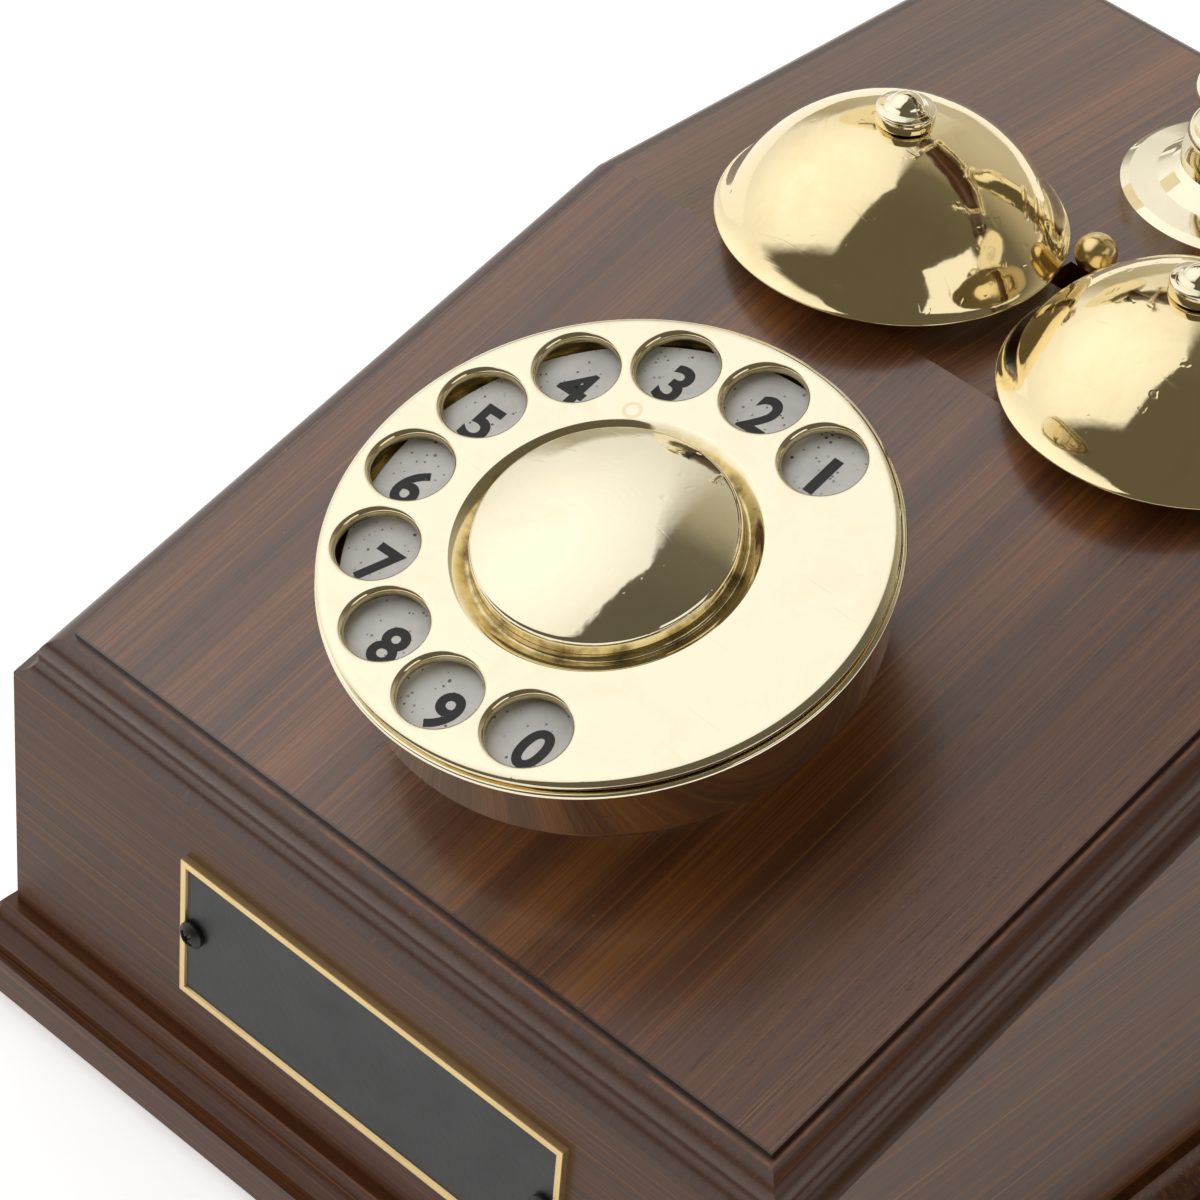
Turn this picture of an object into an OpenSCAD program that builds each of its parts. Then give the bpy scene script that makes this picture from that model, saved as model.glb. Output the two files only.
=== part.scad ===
// Desk telephone with a sloped dial panel, two bells, a cradle and a handset.
// +X right, +Y to the back, +Z up; the origin is under the middle of the case.

/* [Case] */
// Width of the case over its side boards
case_w = 142; // [138:1:160]
// Depth of the case from front face to back face
case_d = 200; // [198:1:220]
// Height of the front board above the base board
face_h = 43; // [41:1:55]
// Slope of the dial panel, degrees
slope_a = 16.6; // [14:0.1:19]
// Length of the dial panel from its front groove to the crease
slope_len = 105.6; // [104:0.1:110]
// Thickness of the front, back and side boards
board_t = 9; // [8:0.5:12]
// Size of the edge moulding, out and down
mould = 7.1; // [6.4:0.1:8]
// Step between the panel and its moulding
mould_step = 0.9; // [0.6:0.1:1.2]
// Thickness of the base board
base_t = 12; // [11:0.5:16]
// Distance that the base board stands out beyond the case
base_out = 6; // [5:0.5:9]
// Height of the rubber feet
foot_h = 3; // [2:0.5:5]
// Radius of the rubber feet
foot_r = 7; // [5:0.5:9]

/* [Nameplate] */
// Length of the nameplate
plate_l = 71.6; // [60:0.2:80]
// Height of the nameplate
plate_h = 24.3; // [20:0.1:26]
// Thickness of the nameplate
plate_t = 1.2; // [0.8:0.1:2]
// Width of the raised border of the nameplate
plate_rim = 1.1; // [0.8:0.1:2]
// Distance from the moulding down to the nameplate
plate_drop = 9.2; // [8:0.1:10]

/* [Dial] */
// Distance up the panel from its front groove to the dial axis
dial_up = 42.7; // [42:0.1:50]
// Height of the finger wheel's face above the panel
dial_h = 26.7; // [26:0.1:30]
// Width of metal left outside the finger holes
wheel_rim = 2.25; // [2:0.05:2.8]
// Thickness of the finger wheel's sheet, and radius of its rounded edge
wheel_t = 1.6; // [1.4:0.1:1.7]
// Radius of the finger holes
hole_r = 5.5; // [5:0.1:5.6]
// Rounding of the finger holes' edges
hole_edge_r = 0.9; // [0.6:0.1:1]
// Radius of the circle of finger holes
hole_pitch_r = 29.75; // [29.5:0.05:30]
// Angle of the first finger hole from the right
hole_a = 64.6; // [60:0.1:66]
// Angle from one finger hole to the next
hole_step_a = 25.56; // [25:0.01:26]
// Radius of the centre boss
boss_r = 17.5; // [16:0.1:18]
// Height of the centre boss above the face
boss_h = 4.6; // [3.5:0.1:6]
// Distance that the dial cup's lip stands out beyond the finger wheel
lip_out = 0.4; // [0.3:0.1:0.8]
// Distance that the dial cup's wall stands in from its lip
lip_over = 1; // [0.8:0.1:1.4]
// Distance that the dial cup's wall draws in on its way down
cup_taper = 1.6; // [1.2:0.1:2]
// Radius of the dial cup's neck on the panel
neck_r = 22; // [21.6:0.1:22.4]
// Wall of the dial cup
cup_wall = 1.5; // [1.2:0.1:1.6]
// Clearance of the number plate inside the dial cup's wall
number_gap = 0.7; // [0.5:0.1:1]
// Depth of the number plate below the face
number_z = 2.6; // [2.5:0.1:2.8]
// Radius of the dial spindle
spindle_r = 3; // [2.6:0.1:3.4]
// Number of teeth on the main gear
gear_teeth = 40; // [40:1:40]
// Number of teeth on a pinion
pinion_teeth = 10; // [10:1:10]
// Gear module, pitch diameter per tooth
gear_m = 0.7; // [0.68:0.01:0.72]

/* [Bells] */
// Radius of a bell at its rim
bell_r = 25; // [24:0.1:25.4]
// Height of a bell from rim to crown
bell_h = 16.8; // [15:0.1:19]
// Thickness of a bell
bell_t = 1.2; // [1:0.1:1.5]
// Distance of a bell's axis from the middle of the case
bell_x = 26; // [25.9:0.1:28]
// Distance of the bells' axes behind the crease
bell_back = 16.3; // [16:0.1:20]
// Height of the bells' rims above the top board
bell_gap = 3.8; // [3:0.1:6]
// Radius of the clapper's ball
ball_r = 3; // [2.6:0.1:3]
// Swing of the clapper to each side, degrees
clapper_a = 2; // [1.5:0.1:2]

/* [Cradle] */
// Place of the cradle column, as a share of the flat top's depth from the crease
column_share = 0.66; // [0.64:0.01:0.68]
// Height of the cradle column above the top board
column_h = 60; // [56:1:70]
// Radius of the cradle's foot flange
column_foot_r = 17; // [14:0.5:18]
// Distance of each fork from the middle
fork_x = 32; // [28:1:38]
// Radius of a fork's bend, to the middle of its rod
fork_bend_r = 17; // [16:0.5:19]
// Radius of a fork's rod
fork_rod_r = 2.1; // [1.8:0.1:2.6]
// Lean of the prongs away from upright, degrees
fork_open_a = 15; // [5:1:20]
// Length of the straight part of a prong
prong_l = 11; // [8:0.5:14]
// Radius of the balls on the prongs
prong_ball_r = 3.4; // [3:0.1:4.5]
// Travel of the cradle when the handset is lifted
hook_travel = 5; // [4:0.5:6]
// Radius of the cradle plunger
plunger_r = 4; // [3.5:0.1:4.5]

/* [Handset] */
// Length of the wooden handle
handle_l = 136; // [132:1:145]
// Radius of the handle at its middle
handle_r = 12; // [10.5:0.1:13]
// Radius of the handle at its ends
handle_end_r = 9; // [8:0.1:10]
// Radius of the ear and mouth cups
ear_r = 25; // [23:0.5:27]
// Depth of the ear and mouth cups
ear_d = 15; // [13:0.5:18]
// Tilt of the cups towards the middle, degrees
ear_tilt = 18; // [10:1:22]

/* [Fits] */
// Clearance round moving pieces
move_gap = 0.3; // [0.25:0.05:0.35]
// Running clearance of a shaft in its bearing, on the radius
run_gap = 0.05; // [0.03:0.01:0.08]
// Clearance between fixed round pieces
seat_gap = 0.05; // [0.03:0.01:0.1]

/* [Hidden] */
$fn = 64;
eps = 0.01;

wood = [0.36, 0.17, 0.09];
brass = [0.86, 0.68, 0.30];
steel = [0.66, 0.67, 0.69];
black = [0.07, 0.07, 0.08];

// Case levels and places
face_z0 = foot_h + base_t;
foot_z = face_z0 + face_h;
groove_y = -case_d / 2 + mould * (cos(slope_a) - sin(slope_a));
groove_z = foot_z + mould * (cos(slope_a) + sin(slope_a));
crease_y = groove_y + slope_len * cos(slope_a);
top_z = groove_z + slope_len * sin(slope_a);
panel_w = case_w - 2 * mould;
top_groove_y = case_d / 2 - mould;
roll_r = (mould - mould_step) * 0.53;
cove_r = mould - mould_step - roll_r;
ridge_cut = mould * tan(slope_a / 2);
front_top_z = top_z - mould - (case_d / 2 + crease_y + ridge_cut) * tan(slope_a);
inner_w = case_w - 2 * board_t;
base_w = case_w + 2 * base_out;
base_d = case_d + 2 * base_out;

// Dial radii, from the finger holes outwards
wheel_r = hole_pitch_r + hole_r + wheel_rim;
lip_r = wheel_r + lip_out;
cup_top_r = lip_r - lip_over;
cup_low_r = cup_top_r - cup_taper;
number_r = cup_top_r - cup_wall - number_gap;

// Dial places, measured down from the finger wheel's face
number_t = 0.5;
frame_top = number_z + number_t;
frame_t = 1.5;
frame_r = number_r - 0.3;
ledge_r = frame_r - 2.7;
lip_top = wheel_t + move_gap;
lip_t = 1;
cup_top = lip_top + lip_t;
cup_low = 13.3;
cup_round = 3;
cup_fall = 60;
gear_r = gear_m * gear_teeth / 2;
pinion_r = gear_m * pinion_teeth / 2;
shaft_off = gear_r + pinion_r;
gear_z = 11.2;
gear_t = 1.6;
bridge_top = 16.6;
bridge_t = 1.2;
pillar_r = 2.6;
pillar_foot_r = 2;
dial_screw_r = 1;
dial_screw_grip = 5;
pillar_off = neck_r - cup_wall - pillar_foot_r - 0.3;
bridge_r = neck_r + 3.8;
ledge_t = 2;
flange_t = 2;
flange_in_r = pillar_off - pillar_foot_r - 1.5;
mover_t = bridge_top - gear_z - gear_t;
pillar_a = [20, 140, 260];
cam_a = 200;
governor_a = 80;
shaft_r = 1;
turn_a = 12 * hole_step_a;
stop_off = 9.5;
stop_pin_r = 1.4;
stop_post_r = 2 * stop_off * sin((360 - turn_a) / 4) - stop_pin_r - 0.2;
web_z = 1.2;
face_in_r = boss_r + 2.9;
hub_r = face_in_r + 1.4;
hub_low = frame_top - 0.4;
number_in_r = hub_r + 0.7;

// Bell places
bell_y = crease_y + bell_back;
rim_z = top_z + bell_gap;
lip_flare = 1.5;
dome_r0 = bell_r - lip_flare;
dome_z0 = 1.6;
dome_h = bell_h - dome_z0;
dome_r = (dome_r0 * dome_r0 + dome_h * dome_h) / (2 * dome_h);
dome_c = bell_h - dome_r;
post_r = 3.5;
post_foot_t = 1.5;
stud_r = 2;
clapper_y = bell_y + 13;
ball_z = rim_z + 2.4;
pivot_z = 70;
arm_bar_t = 4;
coil_x = 12;
coil_r = 6.6;
coil_h = 20;
core_top = pivot_z - arm_bar_t / 2 - 0.9;

// Cradle and handset places
column_y = crease_y + column_share * (case_d / 2 - crease_y);
column_top = top_z + column_h;
foot_flange_h = 8;
bar_z = column_top + move_gap + 6;
bar_r = 3;
fork_drop = 4;
fork_z = bar_z + fork_drop + fork_bend_r;
handle_fork_r = handle_end_r + (handle_r - handle_end_r) * cos(90 * fork_x / (handle_l / 2));
handset_z = fork_z - fork_bend_r + fork_rod_r + move_gap + handle_fork_r;
bracket_z = 46;
collar_z = 68;
plunger_bottom = bracket_z - 4;
ferrule_l = 7;
elbow_x = handle_l / 2 + ferrule_l + 12;
ear_drop = 15;

// Frames that pieces are drawn in
module on_slope() translate([0, groove_y, groove_z]) rotate([slope_a, 0, 0]) children();
module on_dial() on_slope() translate([0, dial_up, dial_h]) children();
module below(z) translate([0, 0, -z]) children();
module at_bell(side) translate([side * bell_x, bell_y, rim_z]) children();
module at_column() translate([0, column_y, 0]) children();
module at_handset() translate([0, column_y, handset_z]) children();
module at_ear(side) at_handset() translate([side * elbow_x, 0, 0])
    rotate([0, side * ear_tilt, 0]) translate([0, 0, -ear_drop]) rotate([180, 0, 0]) children();

// Simple round pieces
module disc(r, h) cylinder(r = r, h = h);
module tube(ro, ri, h) difference() {
    cylinder(r = ro, h = h);
    translate([0, 0, -1]) cylinder(r = ri, h = h + 2);
}
module round_head(r, h) rotate_extrude() intersection() {
    translate([0, h - (r * r + h * h) / (2 * h)]) circle(r = (r * r + h * h) / (2 * h), $fn = 96);
    square([r, h]);
}

// What the router takes off an edge: out along x, down along -y
module edge_cut() {
    far = mould + 2;
    translate([0, -mould_step]) square([far, mould_step + 2]);
    translate([mould_step, -mould_step - roll_r]) difference() {
        square([far, roll_r + eps]);
        circle(r = roll_r, $fn = 64);
    }
    translate([mould_step + roll_r + cove_r, -mould_step - roll_r]) circle(r = cove_r, $fn = 64);
}
module edge_run(len) rotate([90, 0, 0]) linear_extrude(len) edge_cut();
// The same cut along a side edge, from y0 to y1
module side_edges(y0, y1) for (s = [0, 1]) mirror([s, 0, 0])
    translate([panel_w / 2, y1, 0]) edge_run(y1 - y0);

// Case
module base_board() color(wood) translate([0, 0, foot_h]) difference() {
    translate([-base_w / 2, -base_d / 2, 0]) cube([base_w, base_d, base_t]);
    rout_r = base_out - 1.5;
    for (s = [0, 1]) mirror([s, 0, 0]) translate([base_w / 2, base_d / 2 + 1, base_t])
        rotate([90, 0, 0]) linear_extrude(base_d + 2) base_cut(rout_r);
    for (s = [0, 1]) mirror([0, s, 0]) translate([-base_w / 2 - 1, base_d / 2, base_t])
        rotate([90, 0, 90]) linear_extrude(base_w + 2) base_cut(rout_r);
    screw_places() translate([0, 0, -1]) cylinder(r = 1.8, h = base_t + 2, $fn = 32);
    screw_places() cylinder(r1 = 4, r2 = 1.8, h = 2.4, $fn = 32);
}
module base_cut(r) {
    circle(r = r, $fn = 64);
    translate([-1.2, -r - 1.2]) square([2 * r, r]);
}
module screw_places() for (x = [-1, 1], y = [-1, 0, 1])
    translate([x * (case_w - board_t) / 2, y * case_d * 0.36, 0]) children();
module base_screws() color(steel) screw_places() translate([0, 0, foot_h + 0.2]) {
    cylinder(r1 = 3.6, r2 = 1.5, h = 2.3, $fn = 32);
    cylinder(r = 1.5, h = base_t - 0.2 + 8, $fn = 32);
}
module pilot_holes() screw_places() translate([0, 0, face_z0 - 1])
    cylinder(r = 1.5 + seat_gap, h = 9.2, $fn = 32);
module feet() color(black) for (x = [-1, 1], y = [-1, 1])
    translate([x * (base_w / 2 - foot_r - 5), y * (base_d / 2 - foot_r - 5), 0]) rotate_extrude()
        polygon([[0, 0], [foot_r - 1, 0], [foot_r, 0.8], [foot_r, foot_h], [0, foot_h]]);

// Side view of the space under the slope board and the top board
module under_tops(y0, y1) intersection() {
    polygon([[-case_d / 2, face_z0], [case_d / 2, face_z0], [case_d / 2, top_z - mould],
        [crease_y + ridge_cut, top_z - mould], [-case_d / 2, front_top_z]]);
    translate([y0, 0]) square([y1 - y0, top_z]);
}
module wall(x0, x1, y0, y1) translate([x0, 0, 0]) rotate([90, 0, 90])
    linear_extrude(x1 - x0) under_tops(y0, y1);
module front_board() color(wood) difference() {
    wall(-case_w / 2, case_w / 2, -case_d / 2, -case_d / 2 + board_t);
    nameplate_holes();
}
module back_board() color(wood) difference() {
    translate([-case_w / 2, case_d / 2 - board_t, face_z0])
        cube([case_w, board_t, top_z - mould - face_z0]);
    at_jack() cube([jack_w + 2 * seat_gap, 3 * board_t, jack_h + 2 * seat_gap], center = true);
}
module side_board(side) color(wood) difference() {
    x_in = inner_w / 2;
    if (side > 0) wall(x_in, case_w / 2, -case_d / 2 + board_t, case_d / 2 - board_t);
    else wall(-case_w / 2, -x_in, -case_d / 2 + board_t, case_d / 2 - board_t);
    pilot_holes();
    at_gland() rotate([0, 90, 0]) cylinder(r = gland_r + seat_gap, h = 4 * board_t, center = true);
}
module side_left() side_board(-1);
module side_right() side_board(1);

module slope_board() color(wood) on_slope() difference() {
    rotate([90, 0, 90]) translate([0, 0, -case_w / 2]) linear_extrude(case_w)
        polygon([[-mould, 0], [slope_len, 0], [slope_len - ridge_cut, -mould],
            [-mould, -mould]]);
    side_edges(-mould - 1, slope_len + 1);
    translate([case_w / 2 + 1, 0, 0]) rotate([0, 0, -90]) edge_run(case_w + 2);
    translate([0, dial_up, -mould - 1]) cylinder(r = flange_in_r - 2, h = mould + 2);
    translate([0, dial_up, -mould - 1]) at_pillars()
        cylinder(r = dial_screw_r + seat_gap, h = mould + 2, $fn = 24);
}
module at_pillars() for (a = pillar_a) rotate([0, 0, a]) translate([pillar_off, 0, 0]) children();

module top_board() color(wood) difference() {
    translate([0, 0, top_z]) rotate([90, 0, 90]) translate([0, 0, -case_w / 2])
        linear_extrude(case_w) polygon([[crease_y, 0], [case_d / 2, 0], [case_d / 2, -mould],
            [crease_y + ridge_cut, -mould]]);
    translate([0, 0, top_z]) side_edges(crease_y - 1, case_d / 2 + 1);
    translate([-case_w / 2 - 1, top_groove_y, top_z]) rotate([0, 0, 90]) edge_run(case_w + 2);
    for (s = [-1, 1]) translate([s * bell_x, bell_y, top_z - mould - 1])
        cylinder(r = stud_r + seat_gap, h = mould + 2, $fn = 32);
    translate([0, clapper_y, top_z]) cube([12, 6, 3 * mould], center = true);
    at_column() translate([0, 0, top_z - mould - 1]) cylinder(r = plunger_r + move_gap, h = mould + 2);
}

// Nameplate with a raised border and two round-headed screws
plate_z = foot_z - plate_drop - plate_h / 2;
plate_sink = 0.4;
plate_screw_r = 1.1;
plate_screw_l = 6.2;
plate_head_r = 2.1;
plate_head_h = 1.5;
screw_x = plate_l / 2 - 2.6;
module at_plate() translate([0, -case_d / 2, plate_z]) rotate([90, 0, 0]) children();
module nameplate() color(brass) at_plate() difference() {
    translate([-plate_l / 2, -plate_h / 2, 0]) cube([plate_l, plate_h, plate_t]);
    translate([-plate_l / 2 + plate_rim, -plate_h / 2 + plate_rim, plate_t - plate_sink])
        cube([plate_l - 2 * plate_rim, plate_h - 2 * plate_rim, 1]);
    for (s = [-1, 1]) translate([s * screw_x, 0, -1]) cylinder(r = plate_screw_r + seat_gap, h = 5, $fn = 32);
}
// The heads bear on the raised border
module nameplate_screws() color(black) at_plate() for (s = [-1, 1])
    translate([s * screw_x, 0, 0]) {
        translate([0, 0, plate_t]) round_head(plate_head_r, plate_head_h);
        translate([0, 0, -plate_screw_l])
            cylinder(r = plate_screw_r, h = plate_screw_l + plate_t + 0.2, $fn = 32);
    }
module nameplate_holes() at_plate() for (s = [-1, 1]) translate([s * screw_x, 0, -plate_screw_l - 0.8])
    cylinder(r = plate_screw_r + seat_gap, h = plate_screw_l + 2, $fn = 32);

// Dial: the fixed cup, its number plate and the movement inside
module dial_cup() color(brass) on_dial() difference() {
    rotate_extrude($fn = 96) difference() {
        cup_outside();
        cup_inside();
    }
    below(dial_h + 1) at_pillars() cylinder(r = dial_screw_r + seat_gap, h = flange_t + 2, $fn = 24);
}
// Half section of the cup's wall, in > 0 for its inner face: down the wall, round, in to the neck
function cup_arc(in) = [for (k = [0 : 8]) let (a = -cup_fall * k / 8)
    [cup_low_r - cup_round + (cup_round - in) * cos(a), -cup_low + (cup_round - in) * sin(a)]];
function cup_neck(in) = let (p = cup_arc(in)[8], x = neck_r - in) [x, p[1] - (p[0] - x) / tan(cup_fall)];
lip_arc = [for (k = [0 : 12]) let (a = 90 - 15 * k)
    [lip_r - lip_t / 2 + lip_t / 2 * cos(a), -lip_top - lip_t / 2 + lip_t / 2 * sin(a)]];
module cup_outside() polygon(concat([[0, -lip_top]], lip_arc, [[cup_top_r, -cup_top]], cup_arc(0),
    [cup_neck(0), [neck_r, -dial_h], [0, -dial_h]]));
module cup_inside() difference() {
    polygon(concat([[0, 0], [cup_top_r - cup_wall, 0], [cup_top_r - cup_wall, -cup_top]],
        cup_arc(cup_wall), [cup_neck(cup_wall), [neck_r - cup_wall, -dial_h - 1], [0, -dial_h - 1]]));
    translate([ledge_r, -frame_top - frame_t - ledge_t]) square([cup_top_r - ledge_r, ledge_t]);
    translate([flange_in_r, -dial_h - 2]) square([neck_r - flange_in_r, flange_t + 2]);
}
module number_plate() color([0.88, 0.88, 0.87]) on_dial() below(frame_top)
    tube(number_r, number_in_r, number_t);
module shaft_holes() {
    translate([0, 0, -1]) cylinder(r = spindle_r + run_gap, h = 4);
    for (a = [cam_a, governor_a]) rotate([0, 0, a]) translate([shaft_off, 0, -1])
        cylinder(r = shaft_r + run_gap, h = 4, $fn = 32);
}
module dial_frame() color(steel) on_dial() {
    below(frame_top + frame_t) difference() {
        disc(frame_r, frame_t);
        shaft_holes();
    }
    at_pillars() difference() {
        union() {
            below(bridge_top) disc(pillar_r, bridge_top - frame_top - frame_t + eps);
            below(dial_h - flange_t) disc(pillar_foot_r, dial_h - flange_t - bridge_top + eps);
        }
        below(dial_h) cylinder(r = dial_screw_r + seat_gap, h = flange_t + dial_screw_grip + 1, $fn = 24);
    }
}
module dial_bridge() color(steel) on_dial() {
    below(bridge_top + bridge_t) difference() {
        disc(bridge_r, bridge_t);
        shaft_holes();
        translate([0, 0, -1]) at_pillars() cylinder(r = pillar_foot_r + seat_gap, h = 4);
    }
    below(bridge_top + eps) rotate([0, 0, stop_rest_a + (360 - turn_a) / 2]) translate([stop_off, 0, 0])
        disc(stop_post_r, mover_t - move_gap);
}
stop_rest_a = -60;
// Screws from inside the case, through the board and the cup's foot into the pillars
module dial_screws() color(steel) on_dial() at_pillars() below(dial_h + mould) {
    cylinder(r = dial_screw_r, h = mould + flange_t + dial_screw_grip, $fn = 24);
    mirror([0, 0, 1]) round_head(2 * dial_screw_r, 1.1 * dial_screw_r);
}
governor_r = 5.6;
module governor_cup() color(brass) on_dial() rotate([0, 0, governor_a]) translate([shaft_off, 0, 0])
    below(bridge_top) difference() {
        disc(governor_r, mover_t - 0.6);
        translate([0, 0, 0.8]) cylinder(r = governor_r - 0.8, h = 5);
        translate([0, 0, -1]) cylinder(r = shaft_r + move_gap, h = 3, $fn = 32);
    }
cam_r = 3;
cam_t = 1.6;
module pulse_contacts() color([0.80, 0.62, 0.32]) on_dial() rotate([0, 0, cam_a])
    translate([shaft_off + cam_r + 0.8, 0, 0]) {
        below(bridge_top) translate([0, -6.5, 0]) cube([3, 3.5, mover_t]);
        for (k = [0, 1]) below(gear_z + gear_t + 0.6 + cam_t) translate([0.3 + 1.1 * k, -3.2, 0])
            cube([0.4, 7, cam_t]);
    }
// Flat coil spring that turns the dial back, its inner end on the spindle
spring_turns = 4;
spring_in = spindle_r + 0.1;
spring_pitch = 2;
spring_strip = 0.6;
function spiral(t, w) = let (r = spring_in + spring_pitch * t / 360 + w) [r * cos(t), r * sin(t)];
module return_spring() color(steel) on_dial() below(gear_z - 0.6) linear_extrude(gear_z - 0.6 - spring_z0) {
    step_a = 15;
    steps = spring_turns * 360 / step_a;
    polygon(concat([for (k = [0 : steps]) spiral(k * step_a, 0)],
        [for (k = [steps : -1 : 0]) spiral(k * step_a, spring_strip)]));
}
spring_z0 = frame_top + frame_t + 0.6;

// Dial: what turns
module finger_wheel() color(brass) on_dial() difference() {
    rotate_extrude($fn = 96) wheel_section();
    for (k = [0 : 9]) rotate([0, 0, hole_a + k * hole_step_a]) translate([hole_pitch_r, 0, 0])
        rotate_extrude($fn = 64) hole_section();
}
wheel_in_r = spindle_r + seat_gap;
// A sheet with a rounded edge, its middle pressed down into a dish for the boss
module wheel_section() difference() {
    union() {
        translate([wheel_in_r, -wheel_t]) square([wheel_r - wheel_t - wheel_in_r, wheel_t]);
        intersection() {
            translate([wheel_r - wheel_t, -wheel_t]) circle(r = wheel_t, $fn = 96);
            translate([wheel_r - wheel_t - 1, -wheel_t]) square([wheel_t + 2, wheel_t]);
        }
        translate([wheel_in_r, -hub_low]) square([hub_r - wheel_in_r, hub_low]);
    }
    translate([0, -web_z]) square([face_in_r - web_z, web_z + 1]);
    translate([face_in_r - web_z, 0]) circle(r = web_z, $fn = 64);
}
module hole_section() {
    translate([0, -wheel_t - 1]) square([hole_r, wheel_t + 2]);
    translate([0, -hole_edge_r]) difference() {
        square([hole_r + hole_edge_r, hole_edge_r + 1]);
        translate([hole_r + hole_edge_r, 0]) circle(r = hole_edge_r, $fn = 32);
    }
}
module centre_boss() color(brass) on_dial() difference() {
    below(web_z) union() {
        disc(boss_r, web_z + 0.2);
        translate([0, 0, web_z + 0.2 - eps]) round_head(boss_r, boss_h - 0.2 + eps);
    }
    below(web_z + 1) cylinder(r = spindle_r + seat_gap, h = web_z + 2);
}
module dial_spindle() color(steel) on_dial() below(bridge_top + bridge_t + 2)
    disc(spindle_r, bridge_top + bridge_t + 2 + 0.8);
// Gear outline: short straight-sided teeth, narrower than their gaps
module gear_outline(teeth) {
    pitch_r = gear_m * teeth / 2;
    root_r = pitch_r - 1.1 * gear_m;
    tip_r = pitch_r + 0.75 * gear_m;
    circle(r = root_r, $fn = 64);
    root_w = 0.3 * gear_m * PI;
    tip_w = 0.13 * gear_m * PI;
    for (k = [0 : teeth - 1]) rotate(k * 360 / teeth) polygon([[root_r - 0.3, -root_w],
        [tip_r, -tip_w], [tip_r, tip_w], [root_r - 0.3, root_w]]);
}
module main_gear() color(brass) on_dial() {
    below(gear_z + gear_t) difference() {
        linear_extrude(gear_t) gear_outline(gear_teeth);
        translate([0, 0, -1]) cylinder(r = spindle_r + seat_gap, h = 4);
    }
    below(bridge_top - 0.4) rotate([0, 0, stop_rest_a]) translate([stop_off, 0, 0])
        disc(stop_pin_r, mover_t - 0.4 + eps);
}
// A pinion in mesh with the main gear, on its own shaft
module pinion(a) rotate([0, 0, a]) translate([shaft_off, 0, 0]) {
    below(gear_z + gear_t) rotate([0, 0, 180 - mesh_a(a)]) linear_extrude(gear_t) gear_outline(pinion_teeth);
    below(bridge_top + bridge_t)
        cylinder(r = shaft_r, h = bridge_top + bridge_t - frame_top - 0.2, $fn = 32);
}
// Turn that puts a pinion's gap where the main gear's tooth is
function mesh_a(a) = let (tooth = 360 / gear_teeth, off = a / tooth - round(a / tooth))
    180 / pinion_teeth - off * tooth * gear_teeth / pinion_teeth;
module cam_shaft() color(steel) on_dial() {
    pinion(cam_a);
    rotate([0, 0, cam_a]) translate([shaft_off, 0, 0]) below(gear_z + gear_t + 0.6 + cam_t)
        linear_extrude(cam_t) difference() {
        circle(r = cam_r);
        for (s = [-1, 1]) translate([s * (cam_r + 0.4), 0]) circle(r = 1.2, $fn = 32);
    }
}
module governor_rotor() color(brass) on_dial() {
    pinion(governor_a);
    rotate([0, 0, governor_a]) translate([shaft_off, 0, 0]) below(bridge_top - 1.2) {
        disc(1.9, mover_t - 1.2 + eps);
        for (s = [0, 180]) rotate([0, 0, s]) translate([1.2, -1.4, 0])
            cube([governor_r - 0.8 - move_gap - 1.8, 2.8, 1.8]);
    }
}

// Bells on their posts
module bell_shell() rotate_extrude($fn = 128) difference() {
    bell_outline(0);
    bell_outline(bell_t);
}
module bell_outline(in) {
    intersection() {
        translate([0, dome_c]) circle(r = dome_r - in, $fn = 192);
        translate([0, in > 0 ? -1 : dome_z0]) square([dome_r0 + 5, bell_h + 2]);
        if (in > 0) translate([0, dome_z0 - 0.6]) square([dome_r0 + 5, bell_h + 2]);
    }
    if (in == 0) polygon([[0, 0], [bell_r, 0], [bell_r, 0.5], [dome_r0 + 0.5, dome_z0 + 0.2],
        [dome_r0 - 0.2, dome_z0 + 0.8], [0, dome_z0 + 0.8]]);
    else polygon([[0, -1], [bell_r - 0.5, -1], [bell_r - 0.9, 0], [dome_r0 - in + 0.1, dome_z0 - 0.6],
        [0, dome_z0 + 0.6]]);
}
module bell(side) color(brass) at_bell(side) difference() {
    bell_shell();
    translate([0, 0, bell_h - 4]) cylinder(r = stud_r + seat_gap, h = 6, $fn = 32);
}
module bell_left() bell(-1);
module bell_right() bell(1);
seat_h = dome_c + sqrt((dome_r - bell_t) * (dome_r - bell_t) - post_r * post_r);
module bell_post(side) color(steel) at_bell(side) {
    below(bell_gap) {
        disc(2 * post_r, post_foot_t);
        disc(post_r, bell_gap + seat_h);
        below(mould + 1) cylinder(r = stud_r, h = mould + 2, $fn = 32);
    }
    translate([0, 0, seat_h - eps]) cylinder(r = stud_r, h = bell_h + 3 - seat_h, $fn = 32);
}
module bell_post_left() bell_post(-1);
module bell_post_right() bell_post(1);
nut_r = 4.2;
nut_h = 4.4;
module bell_nut(side) color(brass) at_bell(side) translate([0, 0, bell_h]) difference() {
    union() {
        disc(nut_r, nut_h / 2);
        translate([0, 0, nut_h / 2 - eps]) round_head(nut_r, nut_h / 2);
    }
    translate([0, 0, -1]) cylinder(r = stud_r + seat_gap, h = 1 + 3.2, $fn = 32);
}
module bell_nut_left() bell_nut(-1);
module bell_nut_right() bell_nut(1);

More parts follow.
